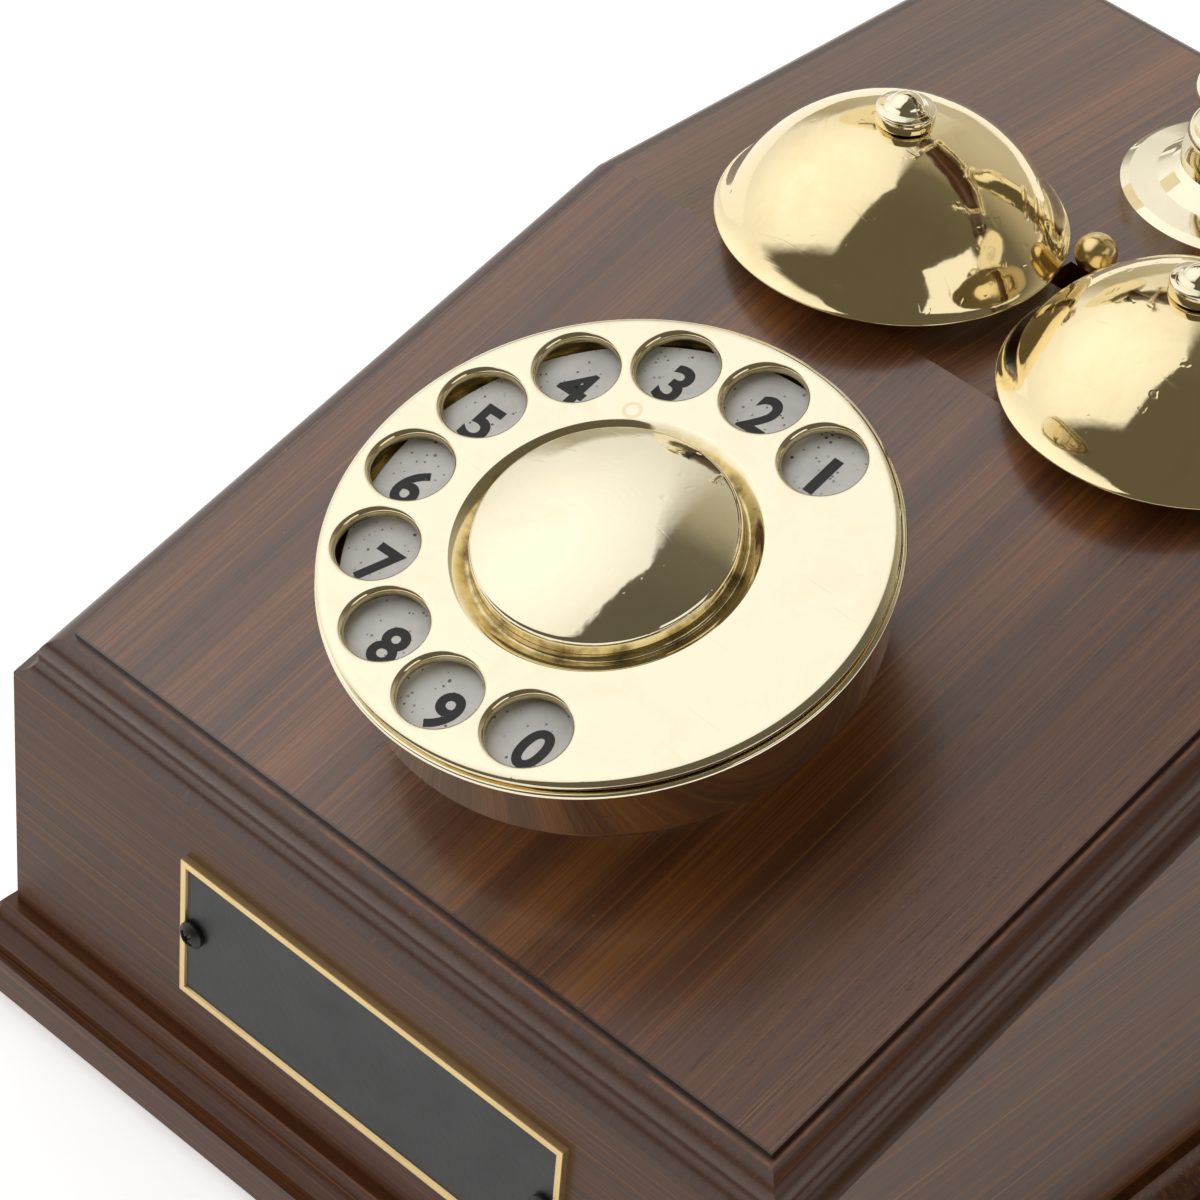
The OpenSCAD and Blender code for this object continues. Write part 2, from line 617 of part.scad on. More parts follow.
// Ringer under the top board
yoke_t = 3;
yoke_z = core_top - coil_h - yoke_t;
ear_y = 5;
yoke_w = 44;
yoke_d = 18;
leg_r = 2.5;
ringer_ear_w = 8;
ringer_ear_t = 1.5;
core_r = 3;
pin_r = 1.5;
module ringer_frame() color(steel) translate([0, clapper_y, 0]) {
    translate([-yoke_w / 2, -yoke_d / 2, yoke_z]) cube([yoke_w, yoke_d, yoke_t]);
    for (x = [-1, 1], y = [-1, 1])
        translate([x * (yoke_w / 2 - leg_r - 1.5), y * (yoke_d / 2 - leg_r - 0.5), face_z0])
            disc(leg_r, yoke_z - face_z0 + eps);
    for (s = [-1, 1]) difference() {
        translate([-ringer_ear_w / 2, s * ear_y - ringer_ear_t / 2, yoke_z])
            cube([ringer_ear_w, ringer_ear_t, pivot_z + ringer_ear_w / 2 - yoke_z]);
        translate([0, s * ear_y, pivot_z]) rotate([90, 0, 0])
            cylinder(r = pin_r + seat_gap, h = 4, center = true, $fn = 32);
    }
    for (s = [-1, 1]) translate([s * coil_x, 0, yoke_z]) disc(core_r, core_top - yoke_z);
}
module ringer_coil(side) color([0.55, 0.20, 0.12]) translate([side * coil_x, clapper_y, yoke_z + yoke_t]) {
    for (z = [0, coil_h - 2 - flange_h]) translate([0, 0, z]) tube(coil_r + 0.8, core_r + seat_gap, flange_h);
    tube(coil_r, core_r + seat_gap, coil_h - 2);
}
flange_h = 1.2;
module ringer_coil_left() ringer_coil(-1);
module ringer_coil_right() ringer_coil(1);
module ringer_pin() color(steel) translate([0, clapper_y, pivot_z]) rotate([90, 0, 0])
    cylinder(r = pin_r, h = 2 * ear_y + 4, center = true, $fn = 32);
armature_l = 32;
armature_w = 6;
clapper_rod_r = 1.1;
module clapper() color(brass) translate([0, clapper_y, pivot_z]) {
    difference() {
        union() {
            rotate([90, 0, 0]) cylinder(r = 2 * pin_r, h = 2 * ear_y - 2.4, center = true);
            translate([-armature_l / 2, -armature_w / 2, -arm_bar_t / 2])
                cube([armature_l, armature_w, arm_bar_t]);
        }
        rotate([90, 0, 0]) cylinder(r = pin_r + run_gap, h = 20, center = true, $fn = 32);
    }
    translate([0, 0, 2.5]) cylinder(r = clapper_rod_r, h = ball_z - pivot_z - 2.5, $fn = 32);
    translate([0, 0, ball_z - pivot_z]) sphere(r = ball_r, $fn = 48);
}

// Cradle: turned foot and column, and the fork that carries the handset
module foot_profile() {
    r1 = column_foot_r;
    polygon([[0, 0], [r1, 0], [r1, 2.2], [r1 - 1.2, 3], [r1 - 5, 3.8], [10, 5.4], [9, 6.4],
        [9, foot_flange_h], [0, foot_flange_h]]);
}
module cradle_foot() color(brass) at_column() translate([0, 0, top_z]) difference() {
    rotate_extrude($fn = 96) foot_profile();
    translate([0, 0, -1]) cylinder(r = plunger_r + move_gap, h = foot_flange_h + 2);
}
column_body = column_h - foot_flange_h;
// Radius of the turned column, with t from 0 at its foot to 1 at its top
column_r = 6.4;
column_swell = 2.4;
column_thin = 0.4;
bead_r = 1.6;
function column_radius(t) = column_r + column_swell * pow(sin(180 * pow(t, 1.6)), 2) - column_thin * t;
module cradle_column() color(brass) at_column() translate([0, 0, top_z + foot_flange_h]) difference() {
    union() {
        steps = 24;
        rotate_extrude($fn = 96) polygon(concat([[0, 0]],
            [for (k = [0 : steps]) [column_radius(k / steps), column_body * k / steps]],
            [[0, column_body]]));
        for (t = [0.06, 0.2, 0.94]) translate([0, 0, column_body * t]) rotate_extrude($fn = 96)
            translate([column_r + 0.6, 0]) circle(r = bead_r, $fn = 32);
    }
    translate([0, 0, -1]) cylinder(r = plunger_r + move_gap, h = column_body + 2);
}
// One fork in its own plane: a bend open to +y, its prongs straight, with balls on their ends
module fork() {
    rotate([0, 0, 180 + fork_open_a]) rotate_extrude(angle = 180 - 2 * fork_open_a, $fn = 96)
        translate([fork_bend_r, 0]) circle(r = fork_rod_r, $fn = 32);
    for (s = [0, 1]) mirror([s, 0, 0]) rotate([0, 0, -fork_open_a]) translate([fork_bend_r, 0, 0])
        rotate([-90, 0, 0]) {
            translate([0, 0, -1]) cylinder(r = fork_rod_r + 0.3, h = prong_l + 1, $fn = 32);
            translate([0, 0, prong_l + prong_ball_r / 2]) sphere(r = prong_ball_r, $fn = 48);
        }
}
module cradle_fork() color(brass) at_column() difference() {
    union() {
        for (s = [-1, 1]) translate([s * fork_x, 0, fork_z]) rotate([90, 0, 90]) fork();
        translate([0, 0, bar_z]) rotate([0, 90, 0]) cylinder(r = bar_r, h = 2 * fork_x, center = true);
        for (s = [-1, 1]) translate([s * fork_x, 0, bar_z]) sphere(r = bar_r + 1.4, $fn = 48);
        for (s = [-1, 1]) translate([s * 9, 0, bar_z]) rotate([0, 90, 0])
            cylinder(r = bar_r + 1.4, h = 2.4, center = true);
        translate([0, 0, column_top + move_gap]) rotate_extrude($fn = 96) polygon([[0, 0], [7.4, 0],
            [8, 0.8], [8, 2], [7, 2.8], [6.4, 5], [6, 8], [4.6, 9.8], [0, 10.4]]);
    }
    translate([0, 0, column_top - 1]) cylinder(r = plunger_r + seat_gap, h = move_gap + 9);
}

// Cradle plunger, its bracket, spring and switch
module hook_plunger() color(steel) at_column() {
    translate([0, 0, plunger_bottom]) disc(plunger_r, column_top + move_gap + 7.9 - plunger_bottom);
    translate([0, 0, collar_z]) disc(plunger_r + 4, 3);
}
bracket_w = 34;
bracket_d = 20;
bracket_t = 2;
bush_h = 6;
bush_z = top_z - mould - bush_h;
module hook_bracket() color(steel) at_column() difference() {
    union() {
        for (z = [bracket_z, bush_z]) translate([-bracket_w / 2, -bracket_d / 2, z])
            cube([bracket_w, bracket_d, bracket_t]);
        for (s = [-1, 1])
            translate([s * (bracket_w - bracket_t) / 2 - bracket_t / 2, -bracket_d / 2, bracket_z])
                cube([bracket_t, bracket_d, top_z - mould - bracket_z]);
        translate([0, 0, bush_z]) disc(plunger_r + 3, bush_h);
    }
    translate([0, 0, bracket_z - 5]) cylinder(r = plunger_r + run_gap, h = top_z);
}
// Compression spring round the plunger, as one unbroken tube of rings
coil_turns = 6;
coil_rings = 8;
coil_sides = 6;
wire_r = 0.6;
coil_mid_r = plunger_r + 2.2;
coil_z0 = bracket_z + bracket_t + wire_r + 0.1;
coil_z1 = collar_z - wire_r - 0.1;
function coil_at(k) = let (n = coil_turns * coil_rings, a = 360 * k / coil_rings)
    [coil_mid_r * cos(a), coil_mid_r * sin(a), coil_z0 + (coil_z1 - coil_z0) * k / n];
function coil_ring(k) = let (a = 360 * k / coil_rings, c = coil_at(k))
    [for (j = [0 : coil_sides - 1]) let (b = 360 * j / coil_sides)
        [c[0] + wire_r * cos(b) * cos(a), c[1] + wire_r * cos(b) * sin(a), c[2] + wire_r * sin(b)]];
module hook_spring() color(steel) at_column() {
    n = coil_turns * coil_rings;
    s = coil_sides;
    points = [for (k = [0 : n]) each coil_ring(k)];
    sides = [for (k = [0 : n - 1], j = [0 : s - 1]) each
        [[k * s + j, k * s + (j + 1) % s, (k + 1) * s + j],
         [k * s + (j + 1) % s, (k + 1) * s + (j + 1) % s, (k + 1) * s + j]]];
    cap0 = [for (j = [1 : s - 2]) [0, j + 1, j]];
    cap1 = [for (j = [1 : s - 2]) [n * s, n * s + j, n * s + j + 1]];
    polyhedron(points, concat(sides, cap0, cap1));
}
// Least distance between the tube's points of one turn and those of the next
coil_gap = min([for (k = [0 : coil_rings - 1], p = coil_ring(k), q = coil_ring(k + coil_rings)) norm(p - q)]);
echo(least_gap_of_spring = coil_gap);
contact_w = 10;
contact_h = 12;
contact_back = 3.5;
leaf_w = 6;
leaf_t = 0.5;
leaf_step = 1.6;
module hook_contacts() color([0.80, 0.62, 0.32]) at_column() {
    translate([-contact_w / 2, bracket_d / 2 - contact_back, bracket_z - contact_h])
        cube([contact_w, contact_back, contact_h]);
    for (k = [0 : 2]) translate([-leaf_w / 2, -plunger_r, bracket_z - contact_h + 1 + leaf_step * k])
        cube([leaf_w, plunger_r + bracket_d / 2 - contact_back + eps, leaf_t]);
}

// Handset: turned wooden handle between two metal elbows that carry the cups
function handle_radius(x) = handle_end_r
    + (handle_r - handle_end_r) * cos(90 * min(1, abs(x) / (handle_l / 2)));
module handset_handle() color(wood) at_handset() rotate([0, 90, 0]) difference() {
    steps = 32;
    rotate_extrude($fn = 96) polygon(concat([[0, -handle_l / 2]],
        [for (k = [0 : steps]) let (x = -handle_l / 2 + handle_l * k / steps) [handle_radius(x), x]],
        [[0, handle_l / 2]]));
    cylinder(r = 2.5, h = handle_l + 2, center = true, $fn = 32);
}
module ferrule(side) color(black) at_handset() rotate([0, side * 90, 0])
    translate([0, 0, handle_l / 2]) difference() {
        rotate_extrude($fn = 96) polygon([[0, 0], [handle_end_r + 0.6, 0], [handle_end_r + 1.4, 1],
            [handle_end_r + 1.4, 3], [handle_end_r + 0.4, 4], [handle_end_r + 0.4, ferrule_l],
            [0, ferrule_l]]);
        translate([0, 0, -1]) cylinder(r = 2.5, h = ferrule_l + 2, $fn = 32);
    }
module ferrule_ear() ferrule(-1);
module ferrule_mouth() ferrule(1);
knuckle_r = 11;
module elbow_body(side) difference() {
    union() {
        at_handset() translate([side * elbow_x, 0, 0]) sphere(r = knuckle_r, $fn = 64);
        at_handset() rotate([0, side * 90, 0]) translate([0, 0, handle_l / 2 + ferrule_l])
            cylinder(r = handle_end_r - 0.6, h = 8);
        at_ear(side) translate([0, 0, -ear_drop + 1]) cylinder(r = 8, h = ear_drop - 1);
    }
    at_handset() rotate([0, side * 90, 0]) translate([0, 0, handle_l / 2 + ferrule_l - 1])
        cylinder(r = 2.5, h = 10, $fn = 32);
}
module ear_elbow() color(brass) elbow_body(-1);
module mouth_elbow() color(brass) difference() {
    elbow_body(1);
    at_gland_top() rotate([0, 90, 0]) below(5) cylinder(r = gland_r + seat_gap, h = 20);
}
// A cup hangs from its elbow with its mouth along +z of its own frame
module cup_shell() difference() {
    rotate_extrude($fn = 96) polygon([[0, 0], [10, 0], [ear_r * 0.62, 1.2], [ear_r * 0.82, 3.4],
        [ear_r * 0.93, 6.2], [ear_r * 0.96, 9], [ear_r * 0.96, ear_d], [0, ear_d]]);
    rotate_extrude($fn = 96) polygon([[0, 1.6], [9, 1.6], [ear_r * 0.62 - 1, 2.8], [ear_r * 0.82 - 1.4, 4.6],
        [ear_r * 0.93 - 1.6, 7], [ear_r * 0.96 - 1.6, 9.4], [ear_r * 0.96 - 1.6, ear_d + 1], [0, ear_d + 1]]);
}
module ear_cup() color(brass) at_ear(-1) cup_shell();
module mouth_cup() color(brass) at_ear(1) cup_shell();
cap_t = 3;
module cap_rings(off, count, r) for (k = [0 : count - 1]) rotate([0, 0, 360 * k / count])
    translate([off, 0, -1]) cylinder(r = r, h = cap_t + 4, $fn = 24);
module cap_body() rotate_extrude($fn = 96) polygon([[0, 0.4], [ear_r * 0.5, 0.4], [ear_r * 0.96 - 0.2, 0],
    [ear_r, 0.3], [ear_r, cap_t - 0.8], [ear_r - 1, cap_t], [ear_r * 0.62, cap_t - 0.4],
    [ear_r * 0.4, cap_t - 1.2], [0, cap_t - 1.2]]);
module ear_cap() color(black) at_ear(-1) translate([0, 0, ear_d]) difference() {
    cap_body();
    cap_rings(0, 1, 1.2);
    cap_rings(5, 6, 1.2);
}
module mouth_cap() color(black) at_ear(1) translate([0, 0, ear_d]) difference() {
    cap_body();
    cap_rings(0, 1, 1);
    cap_rings(4, 6, 1);
    cap_rings(8, 12, 1);
}
module capsule() translate([0, 0, 5]) {
    disc(ear_r * 0.76, ear_d - 5.6);
    translate([0, 0, -1.6]) disc(ear_r * 0.42, 1.8);
}
module ear_capsule() color(steel) at_ear(-1) capsule();
module mouth_capsule() color(steel) at_ear(1) capsule();

// Cord glands, jack and electrics; the cords themselves are separate
gland_r = 4;
gland_bore_r = 2.5;
gland_flange_t = 2;
gland_l = 9;
gland_y = 30;
gland_z = 34;
module at_gland() translate([-case_w / 2, gland_y, gland_z]) children();
module at_gland_top() at_handset() translate([elbow_x + knuckle_r - 3, 0, 0]) children();
module gland() difference() {
    union() {
        cylinder(r = gland_r, h = gland_l);
        below(gland_flange_t) rotate_extrude($fn = 64) polygon([[0, 0], [gland_r + 1, 0],
            [gland_r + 2, gland_flange_t / 2], [gland_r + 2, gland_flange_t], [0, gland_flange_t]]);
    }
    below(gland_flange_t + 1) cylinder(r = gland_bore_r, h = gland_l + gland_flange_t + 2);
}
module case_gland() color(black) at_gland() rotate([0, 90, 0]) gland();
module handset_gland() color(black) at_gland_top() rotate([0, 90, 0]) difference() {
    below(3.5) cylinder(r = gland_r, h = 8.4);
    translate([0, 0, -1.5]) cylinder(r = gland_bore_r, h = 10);
}
jack_w = 13;
jack_h = 11;
jack_l = 16;
jack_z = 34;
jack_flange_w = 3;
jack_flange_t = 1.6;
jack_back = 3;
socket_w = 9.8;
socket_h = 6.8;
key_w = 3.2;
key_h = 1.4;
module at_jack() translate([32, case_d / 2, jack_z]) children();
module line_jack() color(black) at_jack() difference() {
    union() {
        translate([-jack_w / 2, -jack_l, -jack_h / 2]) cube([jack_w, jack_l, jack_h]);
        translate([-jack_w / 2 - jack_flange_w, 0, -jack_h / 2 - jack_flange_w])
            cube([jack_w + 2 * jack_flange_w, jack_flange_t, jack_h + 2 * jack_flange_w]);
    }
    translate([-socket_w / 2, -jack_l + jack_back, -socket_h / 2]) cube([socket_w, jack_l, socket_h]);
    translate([-key_w / 2, -jack_l + jack_back, -socket_h / 2 - key_h]) cube([key_w, jack_l, 2 * key_h]);
}
board_l = 80;
board_w = 50;
circuit_t = 1.6;
board_rise = 4;
board_inset = 4;
board_y = -case_d / 2 + board_t + 21;
chip = [8, 10, 3];
can_r = 4;
can_h = 9;
module circuit_board() color([0.16, 0.36, 0.20]) translate([-board_l / 2 - 10, board_y, face_z0]) {
    for (x = [board_inset, board_l - board_inset], y = [board_inset, board_w - board_inset])
        translate([x, y, 0]) disc(2.5, board_rise + eps);
    translate([0, 0, board_rise]) cube([board_l, board_w, circuit_t]);
    translate([0, 0, board_rise + circuit_t - eps]) {
        for (k = [0 : 4]) translate([board_l * (0.125 + 0.1625 * k), board_w * 0.24, 0]) cube(chip);
        for (k = [0 : 2]) translate([board_l * (0.2 + 0.275 * k), board_w * 0.72, 0]) disc(can_r, can_h);
    }
}
coil_base = [26, 22, 3];
cheek = [4, 18, 22];
core_l = 18;
core_w = 16;
choke_x = 38;
choke_back = 10;
choke_y = board_y + board_w + choke_back;
module induction_coil() color([0.45, 0.30, 0.16]) translate([choke_x, choke_y, face_z0]) {
    translate([-coil_base[0] / 2, -coil_base[1] / 2, 0]) cube(coil_base);
    for (s = [-1, 1])
        translate([s * (core_l + cheek[0]) / 2 - cheek[0] / 2, -cheek[1] / 2, coil_base[2] - eps])
            cube(cheek);
    translate([-core_l / 2 - eps, -core_w / 2, 2 * coil_base[2]]) cube([core_l + 2 * eps, core_w, core_w]);
}

base_board();
feet();
base_screws();
front_board();
back_board();
side_left();
side_right();
slope_board();
top_board();
nameplate();
nameplate_screws();
dial_cup();
number_plate();
dial_frame();
dial_bridge();
governor_cup();
pulse_contacts();
return_spring();
dial_screws();
finger_wheel();
centre_boss();
dial_spindle();
main_gear();
cam_shaft();
governor_rotor();
bell_left();
bell_right();
bell_post_left();
bell_post_right();
bell_nut_left();
bell_nut_right();
ringer_frame();
ringer_coil_left();
ringer_coil_right();
ringer_pin();
clapper();
cradle_foot();
cradle_column();
cradle_fork();
hook_plunger();
hook_bracket();
hook_spring();
hook_contacts();
handset_handle();
ferrule_ear();
ferrule_mouth();
ear_elbow();
mouth_elbow();
ear_cup();
mouth_cup();
ear_cap();
mouth_cap();
ear_capsule();
mouth_capsule();
handset_gland();
circuit_board();
induction_coil();
line_jack();
case_gland();
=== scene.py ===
# %% [markdown]
# # Desk telephone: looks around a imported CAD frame
#
# The telephone is a sloped wooden case with a brass dial, two brass bells, a cradle on a turned column
# and a handset. The CAD model already says where everything is and how big it is, so nothing here is
# moved or fitted: a CAD piece whose shape is right gets a finish, and one that needs softer or richer
# forms gets a dressed piece in its place.
#
# Blender works in metres and a workshop in millimetres. The helpers below take millimetres and
# multiply by MM once, where a vertex is made, which keeps the numbers readable.

# %% Load the frame
import math

import bmesh
import bpy
from mathutils import Matrix, Vector


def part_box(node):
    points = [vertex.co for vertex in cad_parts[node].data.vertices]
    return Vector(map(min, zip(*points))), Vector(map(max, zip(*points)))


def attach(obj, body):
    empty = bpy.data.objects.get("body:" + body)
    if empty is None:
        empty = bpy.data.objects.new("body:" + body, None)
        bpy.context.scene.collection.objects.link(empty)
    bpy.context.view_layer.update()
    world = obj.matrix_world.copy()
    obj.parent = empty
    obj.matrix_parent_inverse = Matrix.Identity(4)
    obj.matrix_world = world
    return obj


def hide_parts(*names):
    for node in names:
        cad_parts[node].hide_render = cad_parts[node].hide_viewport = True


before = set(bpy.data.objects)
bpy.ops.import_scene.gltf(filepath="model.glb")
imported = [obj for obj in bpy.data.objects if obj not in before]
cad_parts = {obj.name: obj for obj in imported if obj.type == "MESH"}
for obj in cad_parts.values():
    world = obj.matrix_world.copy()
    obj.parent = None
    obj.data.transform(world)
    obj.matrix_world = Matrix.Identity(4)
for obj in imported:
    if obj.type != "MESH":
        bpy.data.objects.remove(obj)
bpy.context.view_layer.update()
MM = 0.001

# %% [markdown]
# ## Camera
#
# The object is seen from the front right and above, from about 70 cm. A long lens keeps the dial
# nearly round, as a product view does. A camera can be aimed with a Track To constraint, but the two
# directions are known, so its matrix is built from them: right, up, and back away from the object.

# %% A camera with a long lens
EYE = (304.0, -410.1, 487.3)
TO_RIGHT, TO_BACK = (0.7135, 0.6976, 0.0659), (0.5016, -0.574, 0.647)
LENS, SENSOR = 142.6, 36

def make_camera():
    """A camera at EYE, in mm, whose back points along TO_BACK."""
    cam = bpy.data.cameras.new("camera")
    cam.lens, cam.sensor_width, cam.clip_start = LENS, SENSOR, 0.01
    obj = bpy.data.objects.new("camera", cam)
    bpy.context.collection.objects.link(obj)
    back = Vector(TO_BACK).normalized()
    up = back.cross(Vector(TO_RIGHT).normalized()).normalized()
    right = up.cross(back)
    turn = Matrix((right, up, back)).transposed().to_4x4()
    obj.matrix_world = Matrix.Translation(Vector(EYE) * MM) @ turn
    bpy.context.scene.camera = obj
    return obj

camera = make_camera()
print("camera at", tuple(round(v, 4) for v in camera.location), "lens", camera.data.lens)

# %% [markdown]
# ## Places
#
# The dial lies on a board that leans by 16.6 degrees, between the front and the flat top with the
# bells. Drawing such pieces at their slant would need trigonometry in every line. Instead the dial
# has its own frame, a matrix: a piece is drawn upright round Z and the matrix puts it in place.

# %% Frames for the slope, the dial and the bells
CASE_BACK, CASE_SIDE, FRONT_TOP = 100, 71, 58
SLOPE, SLOPE_LEN, MOULD = math.radians(16.6), 105.6, 7.1
DIAL_UP, DIAL_H = 42.7, 26.7
BELL_X, BELL_IN, BELL_GAP = 26, 16.3, 3.8
PANEL_X, BACK_GROOVE_Y = CASE_SIDE - MOULD, CASE_BACK - MOULD
GROOVE_Y = -CASE_BACK + MOULD * (math.cos(SLOPE) - math.sin(SLOPE))
GROOVE_Z = FRONT_TOP + MOULD * (math.cos(SLOPE) + math.sin(SLOPE))
BELL_Y = GROOVE_Y + SLOPE_LEN * math.cos(SLOPE) + BELL_IN
RIM_Z = GROOVE_Z + SLOPE_LEN * math.sin(SLOPE) + BELL_GAP

def place(x, y, z):
    """A move, in mm."""
    return Matrix.Translation(Vector((x, y, z)))

dial_frame = place(0, GROOVE_Y, GROOVE_Z) @ Matrix.Rotation(SLOPE, 4, "X") @ place(0, DIAL_UP, DIAL_H)
print("dial centre", [round(v, 2) for v in dial_frame.translation], "bells at y", round(BELL_Y, 2))

# %% [markdown]
# ## Outlines
#
# Most of this telephone was turned on a lathe or spun from sheet, so its shapes are half sections.
# Two helpers draw them: an arc for rounded edges, and a Bezier curve for a flare or an ogee. Points in
# a list are easier to measure and to change than a curve object.

# %% Arcs and smooth curves as points
def arc(cx, cz, r, a0, a1, steps):
    """Points of an arc, angles in degrees."""
    return [(cx + r * math.cos(math.radians(a0 + (a1 - a0) * k / steps)),
             cz + r * math.sin(math.radians(a0 + (a1 - a0) * k / steps))) for k in range(steps + 1)]

def bezier(p0, p1, p2, p3, steps):
    """Points of a cubic curve between p0 and p3."""
    out = []
    for k in range(steps + 1):
        t = k / steps
        a, b, c, d = (1 - t) ** 3, 3 * t * (1 - t) ** 2, 3 * t * t * (1 - t), t ** 3
        out.append(tuple(a * p0[i] + b * p1[i] + c * p2[i] + d * p3[i] for i in range(2)))
    return out

print("quarter arc", [tuple(round(c, 2) for c in p) for p in arc(0, 0, 1, 0, 90, 2)])

# %% [markdown]
# ### Turning a section round
#
# Blender has a Screw modifier and a Spin operator. Here the rings are made directly with bmesh, so
# one mesh can hold several turned parts, such as a plate and the ten holes in it.

# %% Spin a half section into a mesh
def spin_into(bm, profile, seg, at, closed=False):
    """Adds a turned surface to bm; profile is a list of (radius, height)."""
    rings = []
    for r, z in profile:
        if r < 1e-6:
            rings.append([bm.verts.new(at @ Vector((0, 0, z)) * MM)])
        else:
            rings.append([bm.verts.new(at @ Vector((r * math.cos(2 * math.pi * k / seg),
                r * math.sin(2 * math.pi * k / seg), z)) * MM) for k in range(seg)])
    pairs = list(zip(rings, rings[1:])) + ([(rings[-1], rings[0])] if closed else [])
    for a, b in pairs:
        for k in range(seg):
            n = (k + 1) % seg
            if len(a) == 1 and len(b) == 1:
                continue
            if len(a) == 1:
                bm.faces.new((a[0], b[n], b[k]))
            elif len(b) == 1:
                bm.faces.new((a[k], a[n], b[0]))
            else:
                bm.faces.new((a[k], a[n], b[n], b[k]))

print("ready to spin")

# %% [markdown]
# ### Flat faces with holes
#
# The dial's face is a disc with ten finger holes and one for the boss. A Boolean would do it, but it
# leaves long thin faces whose shading shows on a mirror finish. A triangle fill between exact
# outlines keeps the face truly flat and its edges clean.

# %% Fill between outlines
def fill_into(bm, loops, z, at, up=True):
    """Fills a flat face with holes at height z; loops are lists of (x, y)."""
    edges = []
    for loop in loops:
        vs = [bm.verts.new(at @ Vector((x, y, z)) * MM) for x, y in loop]
        edges += [bm.edges.new((vs[k], vs[(k + 1) % len(vs)])) for k in range(len(vs))]
    normal = (at.to_3x3() @ Vector((0, 0, 1 if up else -1))).normalized()
    got = bmesh.ops.triangle_fill(bm, use_beauty=True, use_dissolve=False, edges=edges, normal=normal)
    for f in got["geom"]:
        if isinstance(f, bmesh.types.BMFace):
            f.normal_update()
            if f.normal.dot(normal) < 0:
                f.normal_flip()

def ring(r, n, cx=0.0, cy=0.0):
    """Points of a circle."""
    turns = [2 * math.pi * k / n for k in range(n)]
    return [(cx + r * math.cos(turn), cy + r * math.sin(turn)) for turn in turns]

print("a ring of 4 points", [tuple(round(c, 2) for c in p) for p in ring(1, 4)])

# %% [markdown]
# ### Smooth metal, sharp edges
#
# Polished metal shows every fault in its shading. Each mesh is welded, its normals point out, it is
# shaded smooth except at real edges, and a Weighted Normal modifier keeps flats flat. The object stays
# at the origin, because its place is in its mesh. A second helper stores dirt, and in one place painted
# shade, as an attribute of the points, which a material can read.

# %% Finish a mesh as an object
SHARP = 35

def finish_object(mesh, name, sharp, obj=None):
    """Gives the mesh to an object at the origin, smooth but with its sharp edges kept."""
    mesh.name = name
    mesh.shade_smooth()
    mesh.set_sharp_from_angle(angle=math.radians(sharp))
    if obj:
        obj.data = mesh
    else:
        obj = bpy.data.objects.new(name, mesh)
        bpy.context.collection.objects.link(obj)
    mod = obj.modifiers.new("even shading", "WEIGHTED_NORMAL")
    mod.keep_sharp = True
    return obj

def finish_mesh(bm, name, material, sharp=SHARP, weld=1e-6, outward=True):
    """Turns bm into a finished object: welded, and with its normals out."""
    bmesh.ops.remove_doubles(bm, verts=bm.verts, dist=weld)
    if outward:
        bmesh.ops.recalc_face_normals(bm, faces=bm.faces)
    mesh = bpy.data.meshes.new(name)
    bm.to_mesh(mesh)
    bm.free()
    mesh.materials.append(material)
    return finish_object(mesh, name, sharp)

def add_grime_and_shade(obj, at, amount):
    """Stores a value from 0 to 1 for each point as the attribute grime: dirt on the wheel and the boss,
    painted shade in the cup's gap.
    """
    back = at.inverted()
    attr = obj.data.attributes.new("grime", "FLOAT", "POINT")
    for v, value in zip(obj.data.vertices, attr.data):
        value.value = min(1.0, max(0.0, amount(back @ (v.co / MM))))

def turned(name, profile, material, at, seg=128, closed=False, sharp=SHARP):
    """A piece spun from one half section."""
    bm = bmesh.new()
    spin_into(bm, profile, seg, at, closed)
    return finish_mesh(bm, name, material, sharp)

print("edges sharper than", SHARP, "degrees stay sharp")

# %% [markdown]
# ### What a piece belongs to
#
# Every dressed piece moves with a body of the mechanism, and may stand for one of the CAD nodes,
# which is then hidden.

# %% Ride and replace
def put(obj, body, slot, *nodes):
    """Says what the piece rides on and the CAD nodes it stands for; slot, its finish, is not used."""
    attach(obj, body)
    if nodes:
        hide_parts(*nodes)
    return obj

print("helpers ready")

# %% [markdown]
# ## Materials: a small kit
#
# All finishes are procedural: noise, bands and ramps of the object's own coordinates. A node tree
# takes many lines to wire, so a kit of short calls does the wiring, and the recipes stay readable.

